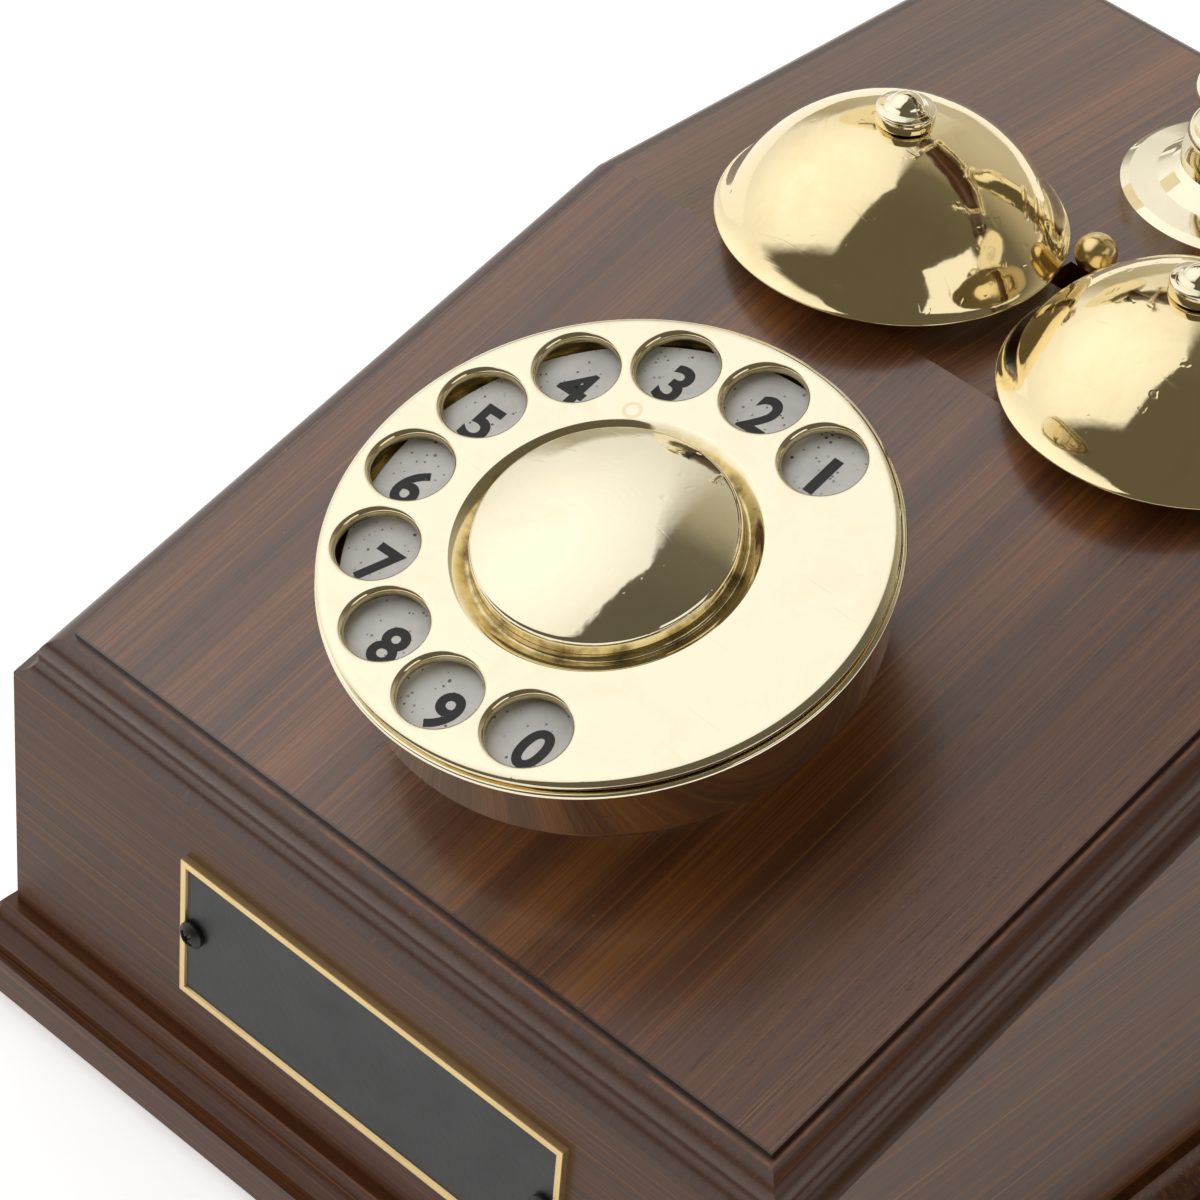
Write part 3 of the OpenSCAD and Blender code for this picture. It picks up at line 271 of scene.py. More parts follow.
# %% Short calls for shader nodes
class Kit:
    """Short calls for building one node tree."""
    def __init__(self, tree):
        self.t = tree

    def set(self, n, key, value):
        sock = n.inputs[key] if isinstance(key, int) else n.inputs[key.replace("_", " ")]
        if isinstance(value, bpy.types.NodeSocket):
            self.t.links.new(value, sock)
        else:
            sock.default_value = value

    def math(self, op, a, b=None, c=None, clamp=False):
        n = self.t.nodes.new("ShaderNodeMath")
        n.operation = op
        n.use_clamp = clamp
        for k, v in enumerate((a, b, c)):
            if v is not None:
                self.set(n, k, v)
        return n.outputs[0]

    def noise(self, vector, scale, detail=4.0, rough=0.55, distortion=0.0):
        n = self.t.nodes.new("ShaderNodeTexNoise")
        self.set(n, "Vector", vector)
        n.inputs["Scale"].default_value = scale
        n.inputs["Detail"].default_value = detail
        n.inputs["Roughness"].default_value = rough
        n.inputs["Distortion"].default_value = distortion
        return n.outputs["Fac"]

    def mapping(self, vector, scale=(1, 1, 1), rotation=(0, 0, 0), location=(0, 0, 0)):
        n = self.t.nodes.new("ShaderNodeMapping")
        self.set(n, "Vector", vector)
        n.inputs["Scale"].default_value = scale
        n.inputs["Rotation"].default_value = rotation
        n.inputs["Location"].default_value = location
        return n.outputs[0]

    def ramp(self, fac, stops):
        """A colour for each value; stops are (position, colour)."""
        n = self.t.nodes.new("ShaderNodeValToRGB")
        self.set(n, "Fac", fac)
        r = n.color_ramp
        while len(r.elements) < len(stops):
            r.elements.new(0.5)
        for e, (pos, col) in zip(r.elements, stops):
            e.position = pos
            e.color = (*col, 1)
        return n.outputs["Color"]

    def band(self, fac, lo, hi):
        """0 below lo, 1 above hi."""
        n = self.t.nodes.new("ShaderNodeMapRange")
        self.set(n, "Value", fac)
        n.inputs["From Min"].default_value = lo
        n.inputs["From Max"].default_value = hi
        return n.outputs[0]

    def below(self, fac, lo, hi):
        """1 below lo, 0 above hi."""
        return self.math("SUBTRACT", 1.0, self.band(fac, lo, hi))

    def near(self, fac, centre, full, gone):
        """1 within full of the centre, 0 from gone on."""
        return self.below(self.math("ABSOLUTE", self.math("SUBTRACT", fac, centre)), full, gone)

    def split(self, vector):
        """The three parts of a vector."""
        n = self.t.nodes.new("ShaderNodeSeparateXYZ")
        self.set(n, "Vector", vector)
        return n.outputs

    def cells(self, vector, scale):
        """A Voronoi texture: its node, whose outputs are the distance and a colour for each cell."""
        n = self.t.nodes.new("ShaderNodeTexVoronoi")
        self.set(n, "Vector", vector)
        self.set(n, "Scale", scale)
        return n

    def mix(self, fac, a, b, blend="MIX"):
        n = self.t.nodes.new("ShaderNodeMix")
        n.data_type = "RGBA"
        n.blend_type = blend
        self.set(n, 0, fac)
        for k, v in ((6, a), (7, b)):
            self.set(n, k, v if isinstance(v, bpy.types.NodeSocket) else (*v, 1))
        return n.outputs[2]

    def bump(self, height, strength, distance):
        n = self.t.nodes.new("ShaderNodeBump")
        n.inputs["Strength"].default_value = strength
        n.inputs["Distance"].default_value = distance
        self.set(n, "Height", height)
        return n.outputs[0]

def new_material(name):
    """A material with its kit, its shader and the object's coordinates."""
    m = bpy.data.materials.new(name)
    m.use_nodes = True
    kit = Kit(m.node_tree)
    shader = m.node_tree.nodes["Principled BSDF"]
    coords = m.node_tree.nodes.new("ShaderNodeTexCoord").outputs["Object"]
    return m, kit, shader, coords

print("kit calls", [call for call in dir(Kit) if not call.startswith("_")])

# %% [markdown]
# ### Wear on polished metal
#
# Hand-polished brass is never a perfect mirror. It has slow ripples from the buffing wheel, tiny pits,
# hairline scratches, tarnish in patches, rings where drops dried, and dirt where the cloth can't
# reach. The dirt value also carries painted shade where an object stores it. All brass shares these,
# so they are one node group with named inputs. It puts out values only; the shader stays in each material.

# %% Group: metal wear
def make_group(name, inputs, outputs):
    """A shader group with a vector, named input values and named output values."""
    tree = bpy.data.node_groups.new(name, "ShaderNodeTree")
    tree.interface.new_socket("Vector", in_out="INPUT", socket_type="NodeSocketVector")
    for given, value in inputs:
        socket = tree.interface.new_socket(given, in_out="INPUT", socket_type="NodeSocketFloat")
        socket.default_value = value
    for out in outputs:
        tree.interface.new_socket(out, in_out="OUTPUT", socket_type="NodeSocketFloat")
    return tree, Kit(tree), tree.nodes.new("NodeGroupInput"), tree.nodes.new("NodeGroupOutput")

WEAR_INPUTS = (("Hammer", 0.2), ("Pits", 0.1), ("Scratches", 0.05))
WEAR_OUTPUTS = ("Height", "Stain", "Hairline", "Ring", "Dirt")
HAIRLINES = (((0.3, 0.2, 0.7), 1500.0), ((0.1, 0.5, -0.9), 1100.0))
DROP_CELLS, DROP_R = 85.0, 0.11

def make_metal_wear():
    """Height and masks of pits, ripples, hairlines, drip rings, and of dirt with painted shade, on polished
    metal.
    """
    tree, k, gin, gout = make_group("metal_wear", WEAR_INPUTS, WEAR_OUTPUTS)
    v = gin.outputs["Vector"]
    ripple = k.noise(v, 75.0, 2.0, 0.5)
    hammer = k.noise(v, 300.0, 2.0, 0.5)
    fine = k.noise(v, 1100.0, 2.0, 0.5)
    pit = k.below(k.noise(v, 520.0, 1.0, 0.4), 0.24, 0.31)
    line = 0.0
    for turn, wide in HAIRLINES:
        hair = k.noise(k.mapping(v, (45.0, wide, 300.0), turn), 1.0, 2.0, 0.5)
        line = k.math("MAXIMUM", k.band(hair, 0.70, 0.79), line)
    waves = k.math("MULTIPLY_ADD", hammer, gin.outputs["Hammer"], k.math("MULTIPLY_ADD", fine, 0.03, ripple))
    height = k.math("SUBTRACT", waves, k.math("MULTIPLY", pit, gin.outputs["Pits"]))
    height = k.math("SUBTRACT", height, k.math("MULTIPLY", line, gin.outputs["Scratches"]))
    # The stored value is dirt, and in the cup's gap painted shade.
    gathered = tree.nodes.new("ShaderNodeAttribute")
    gathered.attribute_name = "grime"
    crumbs = k.band(k.noise(v, 190.0, 6.0, 0.62), 0.42, 0.64)
    dirt_and_shade = k.math("MULTIPLY", gathered.outputs["Fac"], k.math("MULTIPLY_ADD", crumbs, 0.60, 0.25))
    stain = k.band(k.noise(v, 60.0, 5.0, 0.65, 0.8), 0.50, 0.80)
    drop = k.cells(v, DROP_CELLS)
    some_drops = k.band(k.split(drop.outputs["Color"])[0], 0.62, 0.66)
    rings = k.math("MULTIPLY", k.near(drop.outputs["Distance"], DROP_R, 0.010, 0.030), some_drops)
    for name, val in zip(WEAR_OUTPUTS, (height, stain, line, rings, dirt_and_shade)):
        tree.links.new(val, gout.inputs[name])
    return tree

metal_wear = make_metal_wear()
print("group", metal_wear.name, "puts out", WEAR_OUTPUTS)

# %% [markdown]
# ### Dust
#
# An old object is never quite clean. Sparse specks, cells of a Voronoi pattern kept only where a
# noise says so, lie on wood, paint and plastic alike.

# %% Group: dust
def make_dust():
    """Mask of sparse bright specks of dust."""
    tree, k, gin, gout = make_group("dust", (("Scale", 420.0),), ("Specks",))
    v = gin.outputs["Vector"]
    speck = k.below(k.cells(v, gin.outputs["Scale"]).outputs["Distance"], 0.05, 0.11)
    some = k.band(k.noise(v, 160.0, 3.0), 0.60, 0.66)
    tree.links.new(k.math("MULTIPLY", speck, some), gout.inputs["Specks"])
    return tree

dust = make_dust()

def use_group(kit, tree, vector, **amounts):
    """Places a group in a material, with its own amounts."""
    n = kit.t.nodes.new("ShaderNodeGroup")
    n.node_tree = tree
    kit.set(n, "Vector", vector)
    for key, value in amounts.items():
        n.inputs[key].default_value = value
    return n

print("groups", [tree.name for tree in (metal_wear, dust)])

# %% [markdown]
# ### Brass and other metals
#
# Brass is a fully metallic surface whose base colour is the colour of its reflections. The dial is
# pale and bright, the bells are a little more golden and more stained, and the works inside are only
# satin. One recipe with different values makes them all.

# %% Brass, bronze and steel
BRASS, TARNISH = (0.86, 0.790, 0.600), (0.60, 0.44, 0.18)
# CRUD_AND_SHADE is a dark crust, and at full strength in the cup's gap it is painted shade.
FILM, CRUD_AND_SHADE = (0.74, 0.61, 0.33), (0.105, 0.076, 0.032)

def soiled_and_shaded(kit, clean, dirt_and_shade):
    """Colour under dirt: a thin film is golden tarnish, and a thick crust is nearly black; the near black is
    also painted shade where shade is stored.
    """
    filmed = kit.mix(kit.band(dirt_and_shade, 0.0, 0.34), clean, FILM)
    return kit.mix(kit.math("MULTIPLY", kit.band(dirt_and_shade, 0.34, 0.85), 0.9), filmed, CRUD_AND_SHADE)

def brass(name, color=BRASS, rough=0.055, deep=TARNISH, ripple=0.5, stained=0.22):
    """Hand-polished brass: tarnish in patches, hairlines, drip rings, faint ripples, and dirt with painted
    shade.
    """
    m, k, s, v = new_material(name)
    wear = use_group(k, metal_wear, v, Hammer=0.22, Pits=0.12, Scratches=0.06)
    tint = k.math("MULTIPLY", wear.outputs["Stain"], stained)
    tint = k.math("MULTIPLY_ADD", wear.outputs["Ring"], 0.35, tint)
    tint = k.math("MULTIPLY_ADD", wear.outputs["Hairline"], 0.18, tint)
    dirt_and_shade = wear.outputs["Dirt"]
    k.set(s, "Base_Color", soiled_and_shaded(k, k.mix(tint, color, deep), dirt_and_shade))
    k.set(s, "Metallic", k.math("MULTIPLY_ADD", dirt_and_shade, -0.2, 1.0))
    worn = k.math("MULTIPLY_ADD", wear.outputs["Hairline"], 0.10, k.math("MULTIPLY_ADD", dirt_and_shade, 0.10, rough))
    k.set(s, "Roughness", k.math("MULTIPLY_ADD", wear.outputs["Stain"], 0.05, worn))
    k.set(s, "Normal", k.bump(wear.outputs["Height"], ripple, 0.00012))
    return m

polished = brass("polished_brass")
bell_brass = brass("bell_brass", (0.88, 0.745, 0.46), 0.065, (0.56, 0.38, 0.12), 0.9, 0.30)
satin_brass = brass("satin_brass", (0.80, 0.62, 0.30), 0.24, (0.45, 0.28, 0.10), 0.3)
bronze = brass("contact_bronze", (0.72, 0.50, 0.26), 0.28, (0.42, 0.22, 0.10), 0.3)
steel = brass("plated_steel", (0.66, 0.67, 0.69), 0.24, (0.42, 0.40, 0.37), 0.3)
print("metals", polished.name, satin_brass.name, bronze.name, steel.name)

# %% [markdown]
# ## Lacquered wood: the strips
#
# The slope and the top are glued up from strips of darker and lighter timber that run front to back.
# They could be drawn as an image, but a colour ramp across x gives the same strips at any size. Each
# strip starts with a clear edge and fades towards the next.

# %% Strips of light and dark timber
STRIPS_TO = 80
WARM_STRIPS = [(-61, -56, 0.7), (-46, -40.5, 0.85), (-30, -24, 1.0), (-14, -9, 0.5), (5, 7.6, 0.85),
    (15.3, 18.3, 1.0), (28.5, 34, 0.95), (40.5, 42.5, 0.45), (51, 57, 0.40), (64, 71, 0.6)]

def strip_stops():
    """Ramp stops over x from -STRIPS_TO to STRIPS_TO: 0 is the dark timber, 1 the light one."""
    at = lambda x: (x + STRIPS_TO) / (2 * STRIPS_TO)
    stops = [(0.0, (0.15,) * 3)]
    ends = [lo for lo, hi, warm in WARM_STRIPS[1:]] + [STRIPS_TO]
    for k, ((lo, hi, warm), after) in enumerate(zip(WARM_STRIPS, ends)):
        dark = 0.08 + 0.09 * (k % 3)
        stops += [(at(lo), (warm,) * 3), (at(hi), (warm * 0.9,) * 3),
            (at(0.62 * hi + 0.38 * after), (dark,) * 3)]
    return stops

print("stops of the ramp", len(strip_stops()))

# %% [markdown]
# ### Lacquered wood: along the grain
#
# Grain is noise stretched a few hundred times along the board. So the recipe first needs the
# object's coordinates in millimetres, turned level where a board leans, and then drawn out.

# %% Coordinates along the grain
def level(k, v, lean):
    """The parts of the coordinates in mm, with a board that leans turned level."""
    return k.split(k.mapping(v, (1000, 1000, 1000), (-lean, 0, 0)))

def stretched(k, along, across, f_along, f_across):
    """Coordinates drawn out along the grain, for a noise of scale 1."""
    n = k.t.nodes.new("ShaderNodeCombineXYZ")
    for i, (part, f) in enumerate(((along, f_along), (across[0], f_across), (across[1], f_across))):
        k.set(n, i, k.math("MULTIPLY", part, f))
    return n.outputs[0]

print("grain helpers", level.__name__, stretched.__name__)

# %% [markdown]
# ### Lacquered wood: strips and the rim of a panel
#
# A panel shows its strips up to a groove, whose step is painted dark as shade, and past the groove lies
# a moulding that was shaped from plain wood. There the lacquer has worn to an orange line. All of this
# depends on one value, how far a point lies past the panel's edge.

# %% The panel's edge, its strips and its worn rim
RIM_DARK, RIM_WORN, GROOVE_SHADE = (0.070, 0.021, 0.009), (0.42, 0.160, 0.045), (0.016, 0.008, 0.005)

def past_edge(k, v, x, y):
    """How many mm a point lies past the edge of its panel, made uneven by a fine noise."""
    side = k.math("SUBTRACT", k.math("ABSOLUTE", x), PANEL_X)
    ends = k.math("MAXIMUM", k.math("SUBTRACT", GROOVE_Y, y), k.math("SUBTRACT", y, BACK_GROOVE_Y))
    uneven = k.math("SUBTRACT", k.noise(v, 900.0, 3.0), 0.5)
    return k.math("MULTIPLY_ADD", uneven, 0.30, k.math("MAXIMUM", side, ends))

def striped_light(k, x, light, wave, streak, rim):
    """Lightness of glued strips under their grain, and of plain grain on the rim."""
    wander = k.math("MULTIPLY_ADD", k.math("SUBTRACT", wave, 0.5), 2.0, x)
    wander = k.math("MULTIPLY_ADD", k.math("SUBTRACT", streak, 0.5), 1.6, wander)
    strip = k.ramp(k.band(wander, -STRIPS_TO, STRIPS_TO), strip_stops())
    inside = k.math("MULTIPLY_ADD", light, 0.42, k.math("MULTIPLY", strip, 0.66))
    return k.math("MULTIPLY_ADD", k.math("SUBTRACT", k.math("MULTIPLY", light, 0.40), inside), rim, inside)

def worn_rim(k, v, colour, rim, out):
    """Darkens the rim, draws the worn orange line on it, and paints shade into the groove inside it."""
    colour = k.mix(k.math("MULTIPLY", rim, 0.60), colour, RIM_DARK)
    worn = k.math("MULTIPLY", k.near(out, 0.62, 0.10, 0.36), k.band(k.noise(v, 140.0, 3.0), 0.34, 0.56))
    colour = k.mix(k.math("MULTIPLY", worn, 0.75), colour, RIM_WORN)
    # Painted shade: the step at the panel's edge is drawn nearly black.
    return k.mix(k.math("MULTIPLY", k.near(out, -0.1, 0.12, 0.32), 0.75), colour, GROOVE_SHADE)

print("panel edge at x", round(PANEL_X, 2), "and y", round(GROOVE_Y, 2), "to", round(BACK_GROOVE_Y, 2))

# %% [markdown]
# ### Lacquered wood: the recipe
#
# Three widths of grain make streaks, lines and hairs, and short dark dashes are the pores. The
# lacquer itself is the shader's coat, with the grain telegraphing through. It is rubbed dull where
# a hand reaches past the dial.

# %% The wood recipe
WOOD_TONES = ((0.0, (0.092, 0.0285, 0.0110)), (0.35, (0.140, 0.0430, 0.0130)),
    (0.65, (0.200, 0.0650, 0.0155)), (1.0, (0.320, 0.1120, 0.0200)))
HAIR_DARK, LINE_LIGHT, PORE_DARK = (0.050, 0.018, 0.0085), (0.38, 0.150, 0.032), (0.022, 0.008, 0.005)
DUST_GREY = (0.36, 0.33, 0.30)

def wood(name, grain="Y", striped=False, tone=1.0, coat=0.65, lean=0.0, shine=0.5):
    """Wood whose grain runs along X or Y; lean is the slope of a tilted board."""
    m, k, s, v = new_material(name)
    x, y = level(k, v, 0.0)[:2]
    parts = level(k, v, lean)
    along = parts["XYZ".index(grain)]
    others = [a for a in parts if a != along]
    grained = lambda f_along, f_across: stretched(k, along, others, f_along, f_across)
    wave = k.noise(grained(0.006, 0.05), 1.0, 2.0, 0.5)
    streak = k.noise(grained(0.003, 0.5), 1.0, 4.0, 0.62)
    lines = k.noise(grained(0.006, 1.7), 1.0, 3.0, 0.6)
    hairs = k.noise(grained(0.02, 4.2), 1.0, 2.0, 0.6)
    pores = k.band(k.noise(grained(0.30, 6.0), 1.0, 2.0, 0.5), 0.64, 0.74)
    light = k.band(k.math("MULTIPLY_ADD", lines, 0.5, k.math("MULTIPLY", streak, 0.5)), 0.36, 0.64)
    if striped:
        out = past_edge(k, v, x, y)
        rim = k.band(out, 0.0, 0.3)
        light = striped_light(k, x, light, wave, streak, rim)
    colour = k.ramp(light, [(at, tuple(c * tone for c in tones)) for at, tones in WOOD_TONES])
    colour = k.mix(k.math("MULTIPLY", k.band(hairs, 0.48, 0.64), 0.58), colour, HAIR_DARK)
    colour = k.mix(k.math("MULTIPLY", k.band(lines, 0.57, 0.70), 0.50), colour, LINE_LIGHT)
    colour = k.mix(k.math("MULTIPLY", pores, 0.45), colour, PORE_DARK)
    if striped:
        colour = worn_rim(k, v, colour, rim, out)
        rubbed = k.band(k.math("MULTIPLY_ADD", y, -0.35, x), 5.0, 60.0)
        coat = k.math("MULTIPLY_ADD", rubbed, -0.62, 0.98)
        coat = k.math("MULTIPLY", coat, k.math("MULTIPLY_ADD", rim, -0.45, 1.0))
    specks = use_group(k, dust, v).outputs["Specks"]
    k.set(s, "Base_Color", k.mix(k.math("MULTIPLY", specks, 0.45), colour, DUST_GREY))
    dull = k.math("MULTIPLY_ADD", specks, 0.3, 0.36)
    k.set(s, "Roughness", k.math("ADD", k.math("MULTIPLY", streak, 0.10), dull))
    height = k.math("MULTIPLY_ADD", lines, 0.6, k.math("MULTIPLY", pores, -0.6))
    height = k.math("MULTIPLY_ADD", hairs, 0.6, height)
    peel = k.math("MULTIPLY", k.noise(v, 260.0, 2.0, 0.5), 0.2)
    k.set(s, "Normal", k.bump(k.math("ADD", height, peel), 0.45, 0.00012))
    k.set(s, "Coat_Weight", coat)
    k.set(s, "Coat_Roughness", 0.20)
    k.set(s, "Coat_Normal", k.bump(k.math("ADD", peel, k.math("MULTIPLY", height, 0.5)), 0.30, 0.0001))
    k.set(s, "IOR", 1.5)
    k.set(s, "Coat_IOR", 1.6)
    k.set(s, "Specular_IOR_Level", shine)
    return m

striped_wood = wood("striped_wood", "Y", True)
striped_slope = wood("striped_slope_wood", "Y", True, lean=SLOPE)
board_wood_x = wood("board_wood_x", "X", False, 0.70, 0.22, shine=0.22)
board_wood_y = wood("board_wood_y", "Y", False, 0.80, 0.15, shine=0.3)
handle_wood = wood("handle_wood", "X", False, 0.75)
print("woods", striped_wood.name, board_wood_x.name, board_wood_y.name, handle_wood.name)

# %% [markdown]
# ## Enamel
#
# The plate under the finger wheel is greyish white enamel, smudged and peppered with tiny specks.
# Voronoi cells of uneven size make the specks; a slow noise makes the smudges and varies the gloss.

# %% The number plate's enamel
def enamel():
    """Greyish white number plate with tiny black specks and faint smudges."""
    m, k, s, v = new_material("number_enamel")
    smudge = k.band(k.noise(v, 120.0, 5.0, 0.6, 0.5), 0.42, 0.75)
    base = k.mix(k.math("MULTIPLY", smudge, 0.60), (0.90, 0.90, 0.895), (0.50, 0.50, 0.495))
    size = k.math("MULTIPLY_ADD", k.noise(v, 700.0, 2.0), 0.42, -0.05)
    speck = k.math("LESS_THAN", k.cells(v, 900.0).outputs["Distance"], size)
    specks = k.math("MULTIPLY", speck, k.band(k.noise(v, 210.0, 3.0), 0.40, 0.55))
    k.set(s, "Base_Color", k.mix(k.math("MULTIPLY", specks, 0.85), base, (0.03, 0.03, 0.03)))
    k.set(s, "Roughness", k.math("MULTIPLY_ADD", smudge, 0.15, 0.34))
    k.set(s, "Normal", k.bump(k.noise(v, 500.0, 3.0), 0.15, 0.00008))
    return m

number_enamel = enamel()
print("enamel", number_enamel.name, "of", len(number_enamel.node_tree.nodes), "nodes")

# %% [markdown]
# ### Paint, plastic and rubber
#
# Paint, plastic and rubber differ in colour, gloss and grain, but all have handled patches, dust and
# a fine surface texture, so one recipe serves.

# %% Coated surfaces
def coated(name, color, rough=0.35, grain=600.0, wear=(0.12, 0.12, 0.12), bump=0.2):
    """Paint, plastic or rubber: a fine grain, handled patches and dust."""
    m, k, s, v = new_material(name)
    patch = k.band(k.noise(v, 90.0, 4.0, 0.6), 0.45, 0.75)
    specks = use_group(k, dust, v).outputs["Specks"]
    base = k.mix(k.math("MULTIPLY", patch, 0.18), color, wear)
    k.set(s, "Base_Color", k.mix(k.math("MULTIPLY", specks, 0.3), base, (0.3, 0.3, 0.3)))
    k.set(s, "Roughness", k.math("MULTIPLY_ADD", patch, 0.12, rough))
    k.set(s, "Normal", k.bump(k.noise(v, grain, 3.0), bump, 0.0001))
    return m

plate_paint = coated("plate_paint", (0.028, 0.030, 0.034), 0.42, 900.0, (0.09, 0.09, 0.095), 0.5)
print("paint", plate_paint.name, "of", len(plate_paint.node_tree.nodes), "nodes")

# %% [markdown]
# ### Copper windings
#
# Enamelled copper wire lies in even rings on its bobbin. A wave texture along Z gives the rings their
# relief and paints shade into the grooves between them, which is enough for wire of a tenth of a millimetre.

# %% Wire on a bobbin
def winding():
    """Enamelled copper wire on a bobbin: fine rings, with painted shade between them."""
    m, k, s, v = new_material("coil_winding")
    wave = m.node_tree.nodes.new("ShaderNodeTexWave")
    wave.bands_direction = "Z"
    k.set(wave, "Vector", v)
    wave.inputs["Scale"].default_value = 700.0
    wave.inputs["Distortion"].default_value = 0.6
    wave.inputs["Detail Scale"].default_value = 4.0
    # Painted shade: the copper is darker where the wave is low, in the grooves between turns.
    k.set(s, "Base_Color", k.mix(wave.outputs["Fac"], (0.16, 0.035, 0.015), (0.48, 0.15, 0.07)))
    k.set(s, "Roughness", k.math("MULTIPLY_ADD", wave.outputs["Fac"], 0.12, 0.25))
    k.set(s, "Normal", k.bump(wave.outputs["Fac"], 0.6, 0.0002))
    return m

coil_winding = winding()
print("winding", coil_winding.name)

# %% [markdown]
# ### The set of finishes
#
# With the recipes in place, each finish is one line: a name, a colour, a roughness and a grain.

# %% Make the other finishes
digit_paint = coated("digit_paint", (0.012, 0.012, 0.013), 0.5, 500.0, (0.05, 0.05, 0.05))
black_screw = coated("black_screw", (0.012, 0.012, 0.013), 0.40, 700.0, (0.06, 0.06, 0.06), 0.5)
black_plastic = coated("black_plastic", (0.015, 0.015, 0.017), 0.22, 400.0)
foot_rubber = coated("foot_rubber", (0.025, 0.025, 0.026), 0.75, 900.0, (0.08, 0.08, 0.08), 0.6)
circuit_green = coated("circuit_green", (0.02, 0.13, 0.05), 0.30, 300.0, (0.08, 0.22, 0.10))
print("finishes", [m.name for m in (digit_paint, black_screw, black_plastic, foot_rubber, circuit_green)])

# %% [markdown]
# ## Dial: the finger wheel
#
# The finger wheel is a thin brass sheet with ten holes and a pressed ring in its middle, where the
# boss sits. The holes stand on one circle, a fixed angle apart, so their places are computed.

# %% Sizes of the wheel and its ten holes
HOLE_R, HOLE_LIP, HOLE_PITCH, HOLE_A, HOLE_STEP = 5.5, 0.9, 29.75, 64.6, 25.56
WHEEL_R, WHEEL_T, DISH = 37.5, 1.6, 1.2
BOSS_R, BOSS_H, BOSS_WALL, SHOULDER = 17.5, 6.3, 1.9, 1.2
FLAT_OUT, FLAT_IN, HUB_R, HUB_Z, BORE_R = WHEEL_R - 1.3, BOSS_R + 2.9, 21.8, -2.7, 3.1
EDGE_ROUND, EDGE_TURN = 1.9, 47
hole_spots = [(HOLE_PITCH * math.cos(math.radians(HOLE_A + HOLE_STEP * k)),
    HOLE_PITCH * math.sin(math.radians(HOLE_A + HOLE_STEP * k))) for k in range(10)]
print("first hole at", [round(c, 2) for c in hole_spots[0]], "last at", [round(c, 2) for c in hole_spots[-1]])

# %% [markdown]
# ### One closed plate
#
# The face and the back are filled, and turned bands join them: the outer edge falls off in a soft
# round, the ring at the boss is pressed down, and each hole has a rounded lip, as punched and
# polished sheet has. Those rounds are what catches the light, so they have many steps.

# %% Build the wheel
def edge_band(low_out):
    """Half section of the outer edge, from the face down to the back."""
    fall = arc(FLAT_OUT, -EDGE_ROUND, EDGE_ROUND, 90, EDGE_TURN, 20)
    corner = arc(fall[-1][0] - 0.11, fall[-1][1] - 0.08, 0.12, 40, 0, 3)
    under = arc(WHEEL_R - 0.17, -0.98, 0.15, -10, -80, 4)
    return fall + corner + [(WHEEL_R - 0.02, -0.98)] + under + [(low_out, -WHEEL_T)]

def hub_band():
    """Half section of the ring at the boss and of the hub under it."""
    foot = (BOSS_R + 0.75, -DISH)
    down = bezier((FLAT_IN, 0), (FLAT_IN - 0.5, -0.10), (BOSS_R + 1.7, -0.75), foot, 14)
    up = bezier(foot, (BOSS_R + 0.3, -DISH - 0.1), (BOSS_R + 0.05, -0.9), (BOSS_R, -0.4), 8)[1:]
    seat = [(BOSS_R - 0.2, -0.6), (BOSS_R - 0.2, -DISH), (BORE_R, -DISH), (BORE_R, HUB_Z)]
    return down + up + seat + [(HUB_R - 0.2, HUB_Z), (HUB_R, HUB_Z + 0.2), (HUB_R, -WHEEL_T)]

def make_finger_wheel():
    bm = bmesh.new()
    at, n_out, n_in, n_hole = dial_frame, 288, 192, 72
    lip, low, low_out = HOLE_R + HOLE_LIP, HOLE_R + 0.1, WHEEL_R - 1.1
    face = [ring(FLAT_OUT, n_out), ring(FLAT_IN, n_in)] + [ring(lip, n_hole, *c) for c in hole_spots]
    back = [ring(low_out, n_out), ring(HUB_R, n_in)] + [ring(low, n_hole, *c) for c in hole_spots]
    fill_into(bm, face, 0, at)
    fill_into(bm, back, -WHEEL_T, at, False)
    spin_into(bm, edge_band(low_out), n_out, at)
    spin_into(bm, hub_band(), n_in, at)
    wall = arc(lip, -HOLE_LIP, HOLE_LIP, 90, 180, 12) + [(HOLE_R, 0.1 - WHEEL_T), (low, -WHEEL_T)]
    for cx, cy in hole_spots:
        spin_into(bm, wall, n_hole, at @ place(cx, cy, 0))
    return finish_mesh(bm, "finger_wheel_dressed", polished, 50, 2e-6)

finger_wheel = put(make_finger_wheel(), "dial", "polished_brass", "finger_wheel")
print("wheel", len(finger_wheel.data.vertices), "vertices")

# %% [markdown]
# ### The boss
#
# The domed boss was turned, and faint rings round its top still show it. They are a sine of the
# distance from the dial's axis, faded out a few millimetres from the middle. A Mapping node moves
# and tips the object's coordinates so that the axis is Z.

